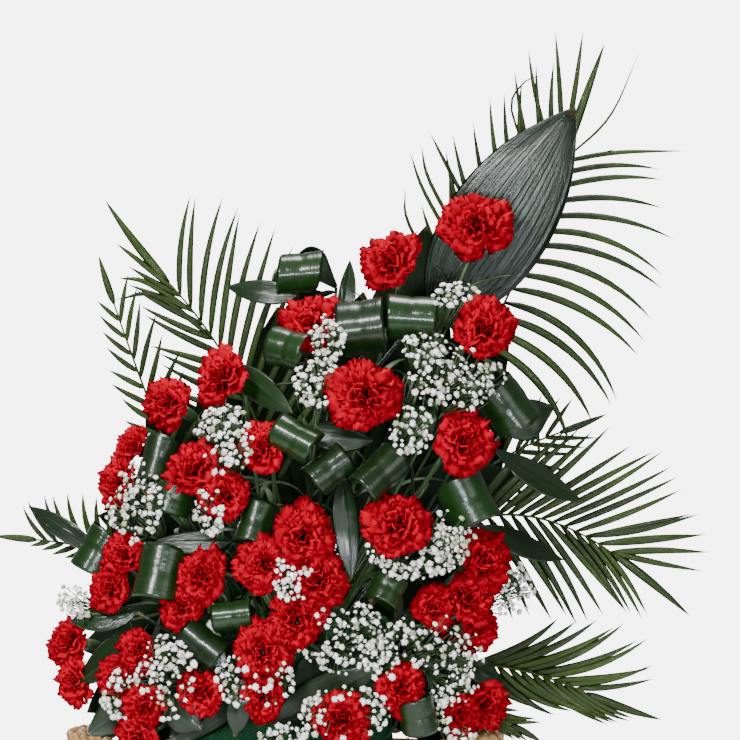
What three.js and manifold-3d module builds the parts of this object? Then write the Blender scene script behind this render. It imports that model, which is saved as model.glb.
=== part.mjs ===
// A one-sided funeral flower arrangement in an oval wicker basket: red carnations, looped and
// flat aspidistra leaves, sprays of gypsophila and areca palm fronds, all cut into one block of
// floral foam that stands in the basket's plastic liner.
// Millimetres, +Z up. The front faces -Y. The origin is the middle of the basket's underside.
import * as THREE from "three";
import { ConvexGeometry } from "three/addons/geometries/ConvexGeometry.js";
import { mergeVertices } from "three/addons/utils/BufferGeometryUtils.js";
import Module from "manifold-3d";

const wasm = await Module();
wasm.setup();

// Driving dimensions
const WIDE_HALF = 222; // basket, middle of the braided rim, across
const OVAL = 0.8; // the basket's depth as a share of its width
const RIM_UP = 272; // height of the rim's middle
const RIM_ROD = 11; // half thickness of the braided rim
const FLOOR_HALF = 150; // half width of the basket's floor
const FOOT_ROD = 9; // half thickness of the braid round the floor
const WALL = 6; // thickness of the woven wall
const LINER_WALL = 1.5;
const FOAM_HALF = 122; // half width of the foam block
const FOAM_TOP = 400;
const CLEAR = 0.4; // gap left where two pieces press together
const SMOOTH = 0.12; // detail finer than this is dropped from a cut piece
const HEART = [0, 10, 310]; // the point in the foam that every stem aims at
const STEM_END = 52; // how near the heart a separate stem reaches
const STEM_ROD = 2.2; // half thickness of a carnation stem
const LEAF_THICK = 1;
const PALM_THICK = 0.9;
const RIB_THICK = 3.2;
const FLORET = 6.5; // half width of a gypsophila floret, drawn a little over life size

// Each finish: its colour and roughness.
const FINISHES = {
  basket: ["#a9763f", 0.75],
  liner: ["#2b2b2b", 0.5],
  foam: ["#2f6b45", 0.95],
  carnation: ["#d0060c", 0.7],
  aspidistra: ["#1f4a1c", 0.35],
  palm: ["#3d6b23", 0.5],
  stem: ["#4f7a3a", 0.6],
  gypsophila: ["#f4f4ee", 0.8],
};

// Carnations by bunch: across, up, width, and how far behind the mass's face each sits.
const CARNATIONS = {
  crown: [[200, 813, 74, 0]],
  upper_middle: [[108, 774, 68, 0]],
  upper_right: [[207, 707, 73, 0]],
  upper_left: [[26, 711, 66, 12]],
  heart_top: [[83, 637, 78, 0]],
  right_shoulder: [[187, 590, 76, 0]],
  left_shoulder: [[-66, 655, 66, 0]],
  left_tip: [[-122, 627, 62, 0]],
  centre_right: [[118, 506, 74, 0]],
  left_middle: [
    [-94, 563, 62, 0],
    [-47, 529, 58, 6],
  ],
  middle: [[-21, 585, 58, 12]],
  left_high: [
    [-158, 582, 50, 0],
    [-176, 540, 56, 4],
  ],
  left_side: [
    [-166, 474, 52, 8],
    [-184, 428, 52, 8],
  ],
  centre: [
    [21, 495, 72, 0],
    [-26, 461, 66, 6],
    [42, 440, 68, 0],
    [13, 405, 64, 2],
    [-20, 377, 64, 0],
    [-20, 330, 52, 0],
  ],
  inner_left: [
    [-83, 455, 58, 8],
    [-107, 417, 50, 10],
  ],
  right: [
    [209, 466, 68, 0],
    [187, 415, 66, 0],
    [137, 417, 52, 4],
    [207, 386, 54, 6],
  ],
  low_right: [[122, 335, 56, 0]],
  low_middle: [[61, 308, 64, 0]],
  rim_right: [
    [212, 313, 58, 0],
    [176, 303, 50, 6],
  ],
  low_left: [
    [-151, 375, 50, 8],
    [-176, 345, 48, 8],
  ],
  inner_low: [[-85, 335, 52, 4]],
  rim_left: [
    [-142, 317, 52, 0],
    [-150, 284, 52, 0],
  ],
  left_rim_side: [
    [-226, 377, 58, 10],
    [-216, 324, 54, 0],
  ],
};
// Carnations behind the face, which turn to the sides: across, forward, up and width.
const SIDE_CARNATIONS = {
  back_left: [[-150, 92, 500, 62]],
  back_right: [[178, 120, 500, 62]],
  back_low_left: [[-178, 72, 352, 60]],
  back_low_right: [[182, 74, 360, 60]],
};

// Looped leaves by bunch: across, up, tilt of the fold in degrees, width of the blade,
// diameter of the loop, and how far behind the mass's face its middle sits.
const LOOPS = {
  top: [
    [20, 758, -5, 50, 48, 10],
    [82, 706, 4, 50, 56, 14],
    [131, 716, -3, 52, 44, 16],
    [8, 683, -22, 44, 40, 14],
  ],
  right: [
    [229, 624, -45, 54, 48, 12],
    [189, 527, -70, 54, 50, 10],
    [137, 612, 2, 36, 28, 22],
  ],
  middle: [
    [14, 592, -33, 48, 36, 6],
    [46, 560, 40, 46, 36, 16],
    [97, 556, 45, 58, 38, 10],
  ],
  left: [
    [-129, 568, 90, 50, 34, 8],
    [-114, 528, 82, 34, 40, 14],
    [-28, 505, 80, 46, 34, 26],
    [-126, 453, 88, 58, 46, 8],
  ],
  low_left: [
    [-50, 413, 5, 42, 30, 16],
    [-80, 382, -35, 50, 34, 14],
    [-190, 474, 60, 48, 42, 14],
  ],
  low_right: [
    [105, 437, 60, 34, 34, 8],
    [137, 312, -70, 40, 38, 2],
  ],
};
// Flat leaves by bunch: base and tip as across, up; blade width; forward place of base and tip.
const FLAT_LEAVES = {
  top: [
    [16, 738, -62, 748, 28, -20, 6],
    [60, 700, 68, 776, 22, -60, -38],
  ],
  right: [
    [215, 580, 313, 522, 46, -40, -12],
    [228, 592, 281, 622, 44, 8, 26],
    [200, 500, 292, 461, 34, -66, -26],
  ],
  middle: [
    [60, 562, 70, 448, 28, -160, -176],
    [20, 600, 92, 590, 34, -150, -150],
  ],
  left: [
    [-60, 669, 10, 618, 30, -70, -136],
    [-195, 468, -272, 516, 24, -20, 8],
    [-50, 488, -134, 486, 26, -166, -158],
  ],
  low_left: [
    [-84, 298, -128, 330, 40, -190, -170],
    [-48, 292, -40, 350, 26, -196, -200],
    [-104, 424, -60, 348, 44, -152, -178],
    [-150, 412, -222, 402, 30, -122, -104],
    [-150, 392, -214, 338, 38, -132, -100],
  ],
  low_right: [
    [-10, 300, 96, 360, 46, -150, -186],
    [190, 356, 228, 330, 34, -40, -30],
  ],
};
// Leaves that back the arrangement: across and up of the tip, its forward place, and width.
const BACK_LEAVES = [
  [-150, 640, 96, 104],
  [-80, 682, 90, 108],
  [-10, 726, 86, 112],
  [82, 742, 82, 112],
  [166, 752, 80, 112],
  [238, 726, 82, 112],
  [236, 592, 104, 110],
  [226, 474, 124, 108],
  [212, 372, 126, 96],
  [-178, 540, 112, 108],
  [-206, 446, 126, 106],
  [-206, 362, 128, 92],
  [-78, 330, 186, 92],
  [52, 330, 190, 92],
];
const CROWN_LEAF = { base: [150, 12, 700], tip: [304, -22, 936], wide: 112, bow: 8 };

// Palm fronds. Rib: base, bend and tip as across, forward, up. Leaflets on the two sides are
// given by number, longest length, spread from the rib in degrees and bend of the leaflet.
const FRONDS = {
  crown: {
    rib: [[14, 40, 352], [190, 52, 600], [294, 40, 881]],
    from: 0.62,
    left: [12, 184, 54, 16],
    right: [14, 162, 78, -32],
  },
  upper_left: {
    rib: [[0, 44, 362], [18, 62, 596], [-125, 48, 752]],
    from: 0.4,
    left: [13, 98, 52, 4],
    right: [14, 165, 44, -10],
  },
  left: {
    rib: [[-22, 40, 352], [-112, 36, 520], [-182, 22, 730]],
    from: 0.52,
    left: [11, 46, 52, 8],
    right: [10, 74, 40, -4],
  },
  left_low: {
    rib: [[-44, 34, 336], [-130, 44, 470], [-264, 16, 480]],
    from: 0.62,
    left: [7, 30, 48, 10],
    right: [9, 66, 44, -22],
  },
  right: {
    rib: [[38, 46, 344], [175, 52, 585], [345, 34, 466]],
    from: 0.52,
    left: [13, 150, 45, -4],
    right: [12, 138, 46, -8],
  },
  right_back: {
    rib: [[24, 60, 350], [150, 74, 545], [292, 66, 592]],
    from: 0.55,
    left: [8, 74, 44, 0],
    right: [8, 74, 44, 0],
  },
  right_low: {
    rib: [[50, 26, 322], [190, 26, 378], [318, 8, 318]],
    from: 0.55,
    left: [10, 124, 22, -16],
    right: [10, 98, 38, 20],
  },
  right_rim: {
    rib: [[52, -4, 316], [150, -34, 330], [236, -54, 290]],
    from: 0.7,
    left: [5, 52, 20, 0],
    right: [5, 46, 26, 0],
  },
};

// Gypsophila: clouds of florets as across, up, half width, half height and count, by spray.
const SPRAYS = {
  top_left: [[45, 697, 15, 20, 3], [35, 650, 20, 20, 3]],
  top_right: [[178, 655, 44, 28, 7], [146, 686, 20, 12, 2], [178, 738, 20, 10, 2]],
  middle_right: [[131, 602, 18, 20, 3]],
  upper_left: [[-60, 592, 26, 30, 5], [-74, 520, 11, 20, 2]],
  left: [[-155, 528, 26, 36, 5], [-220, 419, 15, 14, 2]],
  right: [[137, 480, 46, 24, 6], [165, 498, 28, 18, 2]],
  right_side: [[238, 430, 20, 22, 3]],
  centre: [[11, 456, 14, 22, 2], [64, 392, 44, 30, 6]],
  low_right: [[147, 370, 56, 38, 7], [180, 314, 18, 40, 3]],
  low_left: [[-118, 350, 26, 38, 5], [-166, 330, 18, 20, 2]],
  low_middle: [[-28, 350, 34, 24, 3], [64, 316, 40, 22, 3], [18, 288, 40, 14, 3]],
};

// A repeatable draw between 0 and 1.
function drawsFrom(seed) {
  let state = seed;
  return () => {
    state = (state * 1664525 + 1013904223) % 4294967296;
    return state / 4294967296;
  };
}

const point = (p) => new THREE.Vector3(p[0], p[1], p[2]);
const along = (a, b, t) => a.clone().lerp(b, t);
const meanOf = (places) =>
  places.reduce((sum, at) => sum.add(at), new THREE.Vector3()).divideScalar(places.length);
const heart = point(HEART);

// The mass of flowers: its middle, half width and front depth change with the height.
const MASS_HALF = 240;
const MASS_WAIST = 430;
const MASS_REACH = 400;
const MASS_DEPTH = 0.85;
function massMiddle(up) {
  const rise = Math.max(0, (up - 370) / 438);
  return -5 + 205 * rise * rise;
}
function massHalf(up) {
  const rise = Math.max(0, (up - MASS_WAIST) / MASS_REACH);
  return MASS_HALF * Math.sqrt(Math.max(0.03, 1 - rise * rise));
}
function massFront(across, up) {
  const share = (across - massMiddle(up)) / massHalf(up);
  return -MASS_DEPTH * massHalf(up) * Math.sqrt(Math.max(0, 1 - share * share));
}
// The way a flower on the mass's face looks: outwards, up near the top and down near the rim.
function massOutward(place) {
  const lift = THREE.MathUtils.clamp(0.3 + (place.z - 440) / 300, -0.45, 0.4);
  const out = new THREE.Vector3(place.x - massMiddle(place.z), place.y - 70, 0);
  return out.normalize().setZ(lift).normalize();
}

// A closed three.js geometry as a solid that can be joined and cut.
function solidOf(geometry) {
  const bare = geometry.index ? geometry.toNonIndexed() : geometry.clone();
  bare.deleteAttribute("normal");
  bare.deleteAttribute("uv");
  const merged = mergeVertices(bare, 1e-3);
  const corners = merged.index.array;
  const kept = [];
  for (let i = 0; i < corners.length; i += 3) {
    const [a, b, c] = [corners[i], corners[i + 1], corners[i + 2]];
    if (a !== b && b !== c && a !== c) kept.push(a, b, c);
  }
  return new wasm.Manifold(
    new wasm.Mesh({
      numProp: 3,
      vertProperties: merged.attributes.position.array,
      triVerts: new Uint32Array(kept),
    }),
  );
}

// A solid as a three.js geometry.
function geometryOf(solid) {
  const made = solid.getMesh();
  const places = new THREE.BufferAttribute(Float32Array.from(made.vertProperties), 3);
  const geometry = new THREE.BufferGeometry().setAttribute("position", places);
  return geometry.setIndex(new THREE.BufferAttribute(made.triVerts, 1));
}

// Moves every vertex of a geometry to where the given rule puts it.
function reshaped(geometry, rule) {
  const places = geometry.attributes.position;
  for (let i = 0; i < places.count; i += 1) {
    const put = rule(new THREE.Vector3().fromBufferAttribute(places, i), i);
    places.setXYZ(i, put.x, put.y, put.z);
  }
  return geometry;
}

const joined = (solids) => solids.reduce((whole, piece) => whole.add(piece));

// The largest body of a solid: a cut can leave a loose scrap behind.
function largest(solid) {
  const bodies = solid.decompose();
  return bodies.reduce((best, body) => (body.volume() > best.volume() ? body : best));
}

// A rod of the given half thicknesses that follows the points, with a cone or cup where they differ.
function rod(points, halves, sides = 3) {
  const geometry = new THREE.CylinderGeometry(1, 1, 1, sides, points.length - 1);
  const lastStep = points.length - 1;
  const frames = points.map((at, i) => {
    const ahead = points[Math.min(i + 1, lastStep)];
    const behind = points[Math.max(i - 1, 0)];
    const way = ahead.clone().sub(behind).normalize();
    const reference = new THREE.Vector3(0.3, 1, 0.2).normalize();
    const one = new THREE.Vector3().crossVectors(way, reference).normalize();
    const other = new THREE.Vector3().crossVectors(one, way);
    return { at, one, other };
  });
  return solidOf(
    reshaped(geometry, (v) => {
      const step = Math.round((v.y + 0.5) * lastStep);
      const { at, one, other } = frames[step];
      return at
        .clone()
        .addScaledVector(one, v.x * halves[step])
        .addScaledVector(other, v.z * halves[step]);
    }),
  );
}

// A blade that follows its stations, each with a place, a width and a thickness. Side is the
// direction across it, or null where the blade faces the given way.
function blade(stations, side, face, ease = 0) {
  const last = stations.length - 1;
  const box = new THREE.BoxGeometry(1, 1, 1, 1, 1, last);
  const frames = stations.map(({ at }, i) => {
    const ahead = stations[Math.min(i + 1, last)].at;
    const behind = stations[Math.max(i - 1, 0)].at;
    const way = ahead.clone().sub(behind).normalize();
    const across = side ? side.clone() : new THREE.Vector3().crossVectors(way, face);
    across.addScaledVector(way, -across.dot(way)).normalize();
    return { across, up: new THREE.Vector3().crossVectors(way, across) };
  });
  return solidOf(
    reshaped(box, (v) => {
      const step = Math.round((v.z + 0.5) * last);
      const { at, wide, thick } = stations[step];
      return at
        .clone()
        .addScaledVector(frames[step].across, v.x * (wide + 2 * ease))
        .addScaledVector(frames[step].up, v.y * (thick + 2 * ease));
    }),
  );
}

// Carnation head: rings of ruffled petal edges with furrows between them, from the base up.
// Each ring is its radius and height as shares of the width, and how strongly it is ruffled.
const BLOOM_RINGS = [
  [0, -0.3, 0],
  [0.1, -0.27, 0],
  [0.48, -0.03, 0.09],
  [0.36, 0.03, 0.06],
  [0.4, 0.14, 0.12],
  [0.23, 0.12, 0.1],
  [0.2, 0.24, 0.18],
  [0, 0.17, 0],
];
const LARGE = 64; // carnations wider than this have ten ruffles round them, the others eight
const BLOOM_BASE = 0.3;

function bloomGeometry({ at, out, wide, seed }) {
  const outline = BLOOM_RINGS.map(([r, up]) => new THREE.Vector2(r, up));
  const sides = wide > LARGE ? 10 : 8;
  const lathe = new THREE.LatheGeometry(outline, sides);
  const turn = new THREE.Quaternion().setFromUnitVectors(new THREE.Vector3(0, 1, 0), out);
  const draw = drawsFrom(seed);
  const waves = BLOOM_RINGS.map(() => Array.from({ length: sides }, () => draw()));
  return reshaped(lathe, (v, i) => {
    const ring = i % BLOOM_RINGS.length;
    const side = Math.floor(i / BLOOM_RINGS.length) % sides;
    const ruffle = BLOOM_RINGS[ring][2];
    const fold = ((side + ring) % 2 ? -1 : 1) * (0.6 + 0.4 * waves[ring][side]);
    const swell = 1 + ruffle * fold;
    const lift = 0.25 * ruffle * (waves[ring][side] - 0.5 - 0.4 * fold);
    return new THREE.Vector3(v.x * swell, v.y + lift, v.z * swell)
      .multiplyScalar(wide)
      .applyQuaternion(turn)
      .add(at);
  });
}
const bloom = (flower) => solidOf(bloomGeometry(flower));

// The room that a carnation takes up, with a gap round it, for cutting what passes behind it.
function bloomRoom(flower) {
  const roomy = { ...flower, wide: flower.wide + 2.5 * CLEAR };
  const places = bloomGeometry(roomy).attributes.position;
  const corners = Array.from({ length: places.count }, (_, i) =>
    new THREE.Vector3().fromBufferAttribute(places, i),
  );
  return solidOf(new ConvexGeometry(corners));
}

// The same room with fewer faces, for the leaves, fronds and sprays.
const ROOM_OUTLINE = [
  [0, -0.34],
  [0.57, -0.05],
  [0.48, 0.18],
  [0, 0.37],
];
function plainRoom({ at, out, wide }) {
  const outline = ROOM_OUTLINE.map(([r, up]) => new THREE.Vector2(r, up));
  const turn = new THREE.Quaternion().setFromUnitVectors(new THREE.Vector3(0, 1, 0), out);
  return solidOf(
    reshaped(new THREE.LatheGeometry(outline, 8), (v) =>
      v.multiplyScalar(wide + 2 * CLEAR).applyQuaternion(turn).add(at),
    ),
  );
}

// The flowers of one bunch press together: each is drawn to the nearest before it until the
// gap, measured across their faces and along their stems, is a given share of their width.
const PRESS_ACROSS = 0.8;
const PRESS_ALONG = 0.34;
function pressTogether(flowers) {
  flowers.forEach((flower, i) => {
    const apart = (other) => other.at.distanceTo(flower.at);
    const [nearest] = flowers.slice(0, i).sort((a, b) => apart(a) - apart(b));
    if (!nearest) return;
    const wide = (flower.wide + nearest.wide) / 2;
    const facing = flower.out.clone().add(nearest.out).normalize();
    const way = flower.at.clone().sub(nearest.at);
    const high = way.dot(facing);
    const aside = Math.sqrt(way.lengthSq() - high * high);
    const spread = Math.hypot(aside / (PRESS_ACROSS * wide), high / (PRESS_ALONG * wide));
    flower.at.copy(nearest.at).addScaledVector(way, 1 / Math.max(1, spread));
  });
  return flowers;
}

// Every carnation with its place and the way it looks.
function carnationPlaces() {
  const bunches = {};
  let seed = 11;
  for (const [name, rows] of Object.entries(CARNATIONS)) {
    bunches[name] = pressTogether(
      rows.map(([x, up, wide, back]) => {
        const at = new THREE.Vector3(x, massFront(x, up) + back, up);
        return { at, out: massOutward(at), wide, seed: (seed += 7) };
      }),
    );
  }
  for (const [name, rows] of Object.entries(SIDE_CARNATIONS)) {
    bunches[name] = rows.map(([x, y, up, wide]) => {
      const at = new THREE.Vector3(x, y, up);
      const out = new THREE.Vector3(x - massMiddle(up), y * 0.9, 30).normalize();
      return { at, out, wide, seed: (seed += 7) };
    });
  }
  return bunches;
}

// The stems of a bunch: one from the heart to a fork, then one to each calyx.
const CALYX_HALF = 6;
const CALYX_LONG = 22;
const NECK = 16;
const BUNCH_FORK = 0.72; // how far out from the heart a bunch's stem forks
const FORK_SUNK = 0.97; // the branches start a little inside the fork
const HUB_HALF = 28;
function bunchStems(flowers, ease = 0) {
  const halves = [STEM_ROD, STEM_ROD + 1, CALYX_HALF].map((half) => half + ease);
  const necks = flowers.map(({ at, out, wide }) => {
    const top = at.clone().addScaledVector(out, -BLOOM_BASE * wide - 2 * CLEAR);
    const foot = top.clone().addScaledVector(out, -CALYX_LONG);
    return { bend: foot.clone().addScaledVector(out, -NECK), foot, top };
  });
  if (necks.length === 1) return rod([heart, necks[0].foot, necks[0].top], halves);
  const fork = along(heart, meanOf(necks.map(({ bend }) => bend)), BUNCH_FORK);
  const trunk = rod([heart, fork], [halves[0], halves[0]]);
  const sunk = along(heart, fork, FORK_SUNK);
  return joined([trunk, ...necks.map(({ foot, top }) => rod([sunk, foot, top], halves))]);
}

// A leaf's stalk, thick and narrow, from its hub to where the blade starts.
const stalkStations = (hub, base) => [
  { at: hub, wide: 4, thick: 4 },
  { at: base, wide: 6, thick: 3 },
];

// A looped leaf: the stalk comes from behind, the blade turns over the front and back in.
// The stalk's end lies this many half sizes behind the loop's middle and below it.
const LOOP_ENTRY = 1.7;
const LOOP_DROP = 0.2;
const LOOP_TURN = [-140, -90, -45, 0, 45, 90, 140];
const LOOP_WIDTHS = [0.7, 0.95, 1, 1, 1, 0.9, 0.65];
function loopPlace([x, up, tilt, wide, across, back]) {
  const middle = new THREE.Vector3(x, massFront(x, up) + back, up);
  const out = massOutward(middle);
  const angle = THREE.MathUtils.degToRad(tilt);
  const fold = new THREE.Vector3(Math.cos(angle), 0, Math.sin(angle));
  fold.addScaledVector(out, -fold.dot(out)).normalize();
  const climb = new THREE.Vector3().crossVectors(fold, out);
  return { middle, out, fold, climb, wide, half: across / 2 };
}
function loopStations(spec, hub) {
  const { middle, out, fold, climb, wide, half } = loopPlace(spec);
  const entry = middle
    .clone()
    .addScaledVector(out, -LOOP_ENTRY * half)
    .addScaledVector(climb, -LOOP_DROP * half);
  const stations = stalkStations(hub, entry);
  LOOP_TURN.forEach((degrees, i) => {
    const angle = THREE.MathUtils.degToRad(degrees);
    const at = middle
      .clone()
      .addScaledVector(out, half * Math.cos(angle))
      .addScaledVector(climb, half * Math.sin(angle));
    stations.push({ at, wide: wide * LOOP_WIDTHS[i], thick: LEAF_THICK });
  });
  return { stations, side: fold };
}

// A flat leaf from its base to its tip, fed by a stalk from the hub.
const LEAF_SHARES = [0.12, 0.4, 0.75, 1];
const LEAF_WIDTHS = [0.5, 1, 0.76, 0.04];
function leafStations(base, tip, wide, hub, bow) {
  const stations = stalkStations(hub, base);
  LEAF_SHARES.forEach((share, i) => {
    const at = along(base, tip, share);
    at.y -= bow * Math.sin(Math.PI * share);
    stations.push({ at, wide: wide * LEAF_WIDTHS[i], thick: LEAF_THICK });
  });
  return stations;
}

// A bunch of leaves: its hub lies on the way from the heart to the middle of their bases.
const LEAF_HUB = 0.66;
const LEAF_BOW = 6; // how far a flat leaf's middle bows forward
const STALK_HALF = 3;
function leafBunch(name, ease = 0) {
  const flats = (FLAT_LEAVES[name] ?? []).map(([bx, bup, tx, tup, wide, by, ty]) => ({
    base: new THREE.Vector3(bx, by, bup),
    tip: new THREE.Vector3(tx, ty, tup),
    wide,
  }));
  const loops = LOOPS[name] ?? [];
  const feet = [
    ...flats.map(({ base }) => base),
    ...loops.map((spec) => {
      const { middle, out, half } = loopPlace(spec);
      return middle.addScaledVector(out, -LOOP_ENTRY * half);
    }),
  ];
  const middle = meanOf(feet);
  const toward = middle.clone().sub(heart);
  const start = heart.clone().addScaledVector(toward, STEM_END / toward.length());
  const hub = along(heart, middle, LEAF_HUB);
  const stalk = rod([start, hub], [STALK_HALF + ease, STALK_HALF + ease]);
  const blades = [
    ...loops.map((spec) => {
      const { stations, side } = loopStations(spec, hub);
      return blade(stations, side, null, ease);
    }),
    ...flats.map(({ base, tip, wide }) => {
      const face = massOutward(along(base, tip, 0.5));
      return blade(leafStations(base, tip, wide, hub, LEAF_BOW), null, face, ease);
    }),
  ];
  return joined([stalk, ...blades]);
}

// The back leaves share one stalk; their blades start a quarter of the way out and bow back.
const BACK_STALK = [[8, 58, 324], [20, 84, 380]];
const BACK_STALK_HALF = 4;
const BACK_START = 0.25;
const BACK_BOW = -16;
function backLeaves(ease = 0) {
  const [start, hub] = BACK_STALK.map(point);
  const blades = BACK_LEAVES.map(([x, up, y, wide]) => {
    const tip = new THREE.Vector3(x, y, up);
    const base = along(hub, tip, BACK_START);
    base.y += LEAF_BOW;
    return blade(leafStations(base, tip, wide, hub, BACK_BOW), null, new THREE.Vector3(0, 1, 0), ease);
  });
  return joined([rod([start, hub], [BACK_STALK_HALF + ease, BACK_STALK_HALF + ease], 4), ...blades]);
}

function crownLeaf(ease = 0) {
  const { wide, bow } = CROWN_LEAF;
  const base = point(CROWN_LEAF.base);
  const tip = point(CROWN_LEAF.tip);
  const toward = base.clone().sub(heart);
  const start = heart.clone().addScaledVector(toward, STEM_END / toward.length());
  const stations = leafStations(base, tip, wide, start, bow);
  return blade(stations, null, new THREE.Vector3(0, -1, 0), ease);
}

// A palm frond: a flat comb of leaflets cut to the rib, then bent by the rib's forward curve.
function ribCurve(rib) {
  return new THREE.QuadraticBezierCurve3(point(rib[0]), point(rib[1]), point(rib[2]));
}
const LEAFLET_HALF = 4.6;
const ROOT_HALF = 2.6;
const RIB_HALF = 2.2;
const RIB_TAPER = 0.6;
const BARE_SHARES = [0, 0.25, 0.5, 0.75]; // places of the points along the rib's bare foot
const LONG_LEAFLET = 90; // fronds with leaflets longer than this have wider ones
const OPEN_LOW = 1.15; // how much of its spread a leaflet opens at the rib's foot
const OPEN_FALL = 0.6; // and how much less of it at the rib's tip
const BEND_FALL = 0.5;
const TAPER = 0.35; // how much narrower the leaflets are at the rib's tip
const BELLY = 0.45; // where along a leaflet it is widest
const EVEN = 0.7; // how far the leaflets keep to one direction along a curved rib
const END_LEAFLET = 0.72; // the leaflet at the rib's end, as a share of the longest
// Away from the rib the leaflets first come forward, then droop with the square of the distance.
const LIFT = 0.12;
const DROOP = 0.0011;
// Length of the leaflets along the rib: longest a third of the way up, short at the tip.
const leafletShare = (t) => 0.62 + 0.38 * Math.sin(Math.PI * (0.2 + t * 0.8));

// One leaflet's edge: out from its root, round the tip and back, on the given side of the rib.
function leafletEdge({ root, angle, long, bend, half, rootHalf, along: way }) {
  const at = (share, turned, aside) =>
    new THREE.Vector2(
      root.x + long * share * Math.cos(turned) - aside * Math.sin(turned),
      root.y + long * share * Math.sin(turned) + aside * Math.cos(turned),
    );
  const sign = bend.sign;
  const middle = angle + bend.turn * BELLY;
  return [
    root.clone().addScaledVector(way, -rootHalf),
    at(BELLY, middle, sign * half),
    at(1, angle + bend.turn, 0),
    at(BELLY, middle, -sign * half),
    root.clone().addScaledVector(way, rootHalf),
  ];
}

// The outline of a frond in the plane across and up: up its left side and down its right.
function frondOutline({ rib, from, left, right }, ease) {
  const curve = ribCurve(rib);
  const middleWay = curve.getTangent((1 + from) / 2);
  const middleAngle = Math.atan2(middleWay.z, middleWay.x);
  const flatAt = (t, sign) => {
    const at = curve.getPoint(t);
    const way = curve.getTangent(t);
    const flat = new THREE.Vector2(way.x, way.z).normalize();
    const half = RIB_HALF * (1 - RIB_TAPER * t) + ease;
    const root = new THREE.Vector2(at.x - sign * flat.y * half, at.z + sign * flat.x * half);
    const angle = THREE.MathUtils.lerp(Math.atan2(flat.y, flat.x), middleAngle, EVEN);
    return { root, angle, along: flat };
  };
  const side = ([count, longest, spread, bend], sign) => {
    const points = BARE_SHARES.map((share) => flatAt(from * share, sign).root);
    for (let i = 0; i < count; i += 1) {
      const share = i / count;
      const { root, angle, along: way } = flatAt(from + (1 - from) * share, sign);
      const opening = THREE.MathUtils.degToRad(spread * (OPEN_LOW - OPEN_FALL * share));
      const turn = THREE.MathUtils.degToRad(-sign * bend * (1 - BEND_FALL * share));
      points.push(
        ...leafletEdge({
          root,
          along: way,
          angle: angle + sign * opening,
          long: longest * leafletShare(share) + ease,
          bend: { sign, turn },
          half: LEAFLET_HALF * (longest > LONG_LEAFLET ? 1 : 0.8) * (1 - TAPER * share) + ease,
          rootHalf: ROOT_HALF * (1 - TAPER * share) + ease,
        }),
      );
    }
    return points;
  };
  const end = flatAt(1, 0);
  const last = END_LEAFLET * Math.max(left[1], right[1]) + ease;
  const tip = end.root.clone().addScaledVector(end.along, last);
  return [...side(left, 1), flatAt(1, 1).root, tip, flatAt(1, -1).root, ...side(right, -1).reverse()];
}

// How far a place across and up lies from a rib, and how far forward the rib is there.
function beside(rib, x, up) {
  let best = { off: Infinity, forward: 0 };
  for (let i = 1; i < rib.length; i += 1) {
    const [a, b] = [rib[i - 1], rib[i]];
    const long = (b.x - a.x) ** 2 + (b.z - a.z) ** 2;
    const t = THREE.MathUtils.clamp(((x - a.x) * (b.x - a.x) + (up - a.z) * (b.z - a.z)) / long, 0, 1);
    const off = Math.hypot(a.x + (b.x - a.x) * t - x, a.z + (b.z - a.z) * t - up);
    if (off < best.off) best = { off, forward: a.y + (b.y - a.y) * t };
  }
  return best;
}

function frond(spec, ease = 0) {
  const outline = new THREE.Shape(frondOutline(spec, ease));
  const sheet = new THREE.ExtrudeGeometry(outline, { depth: 1, bevelEnabled: false });
  const samples = ribCurve(spec.rib).getPoints(40);
  return solidOf(
    reshaped(sheet, (v) => {
      const { off, forward } = beside(samples, v.x, v.y);
      const thick = (off < RIB_HALF + ease + 0.5 ? RIB_THICK : PALM_THICK) + 2 * ease;
      const sweep = DROOP * off * off - LIFT * off;
      return new THREE.Vector3(v.x, forward + sweep + (0.5 - v.z) * thick, v.y);
    }),
  );
}

// A spray of gypsophila: a stem to the back of each cloud, and from there a fine branch to each
// floret that finds a way between the carnations.
const SPRAY_BACK = 0.8; // how far out from the heart the branching starts
const SPRAY_FORK = 0.62; // where the stem to a second cloud leaves the first
const TRIES = 16; // draws for each floret before the cloud is called full
// The room of a bloom that florets and their stalks keep out of, as shares of its width.
const ROOM_FRONT = 0.37;
const ROOM_BACK = 0.34;
const ROOM_ASIDE = 0.58;
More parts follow.
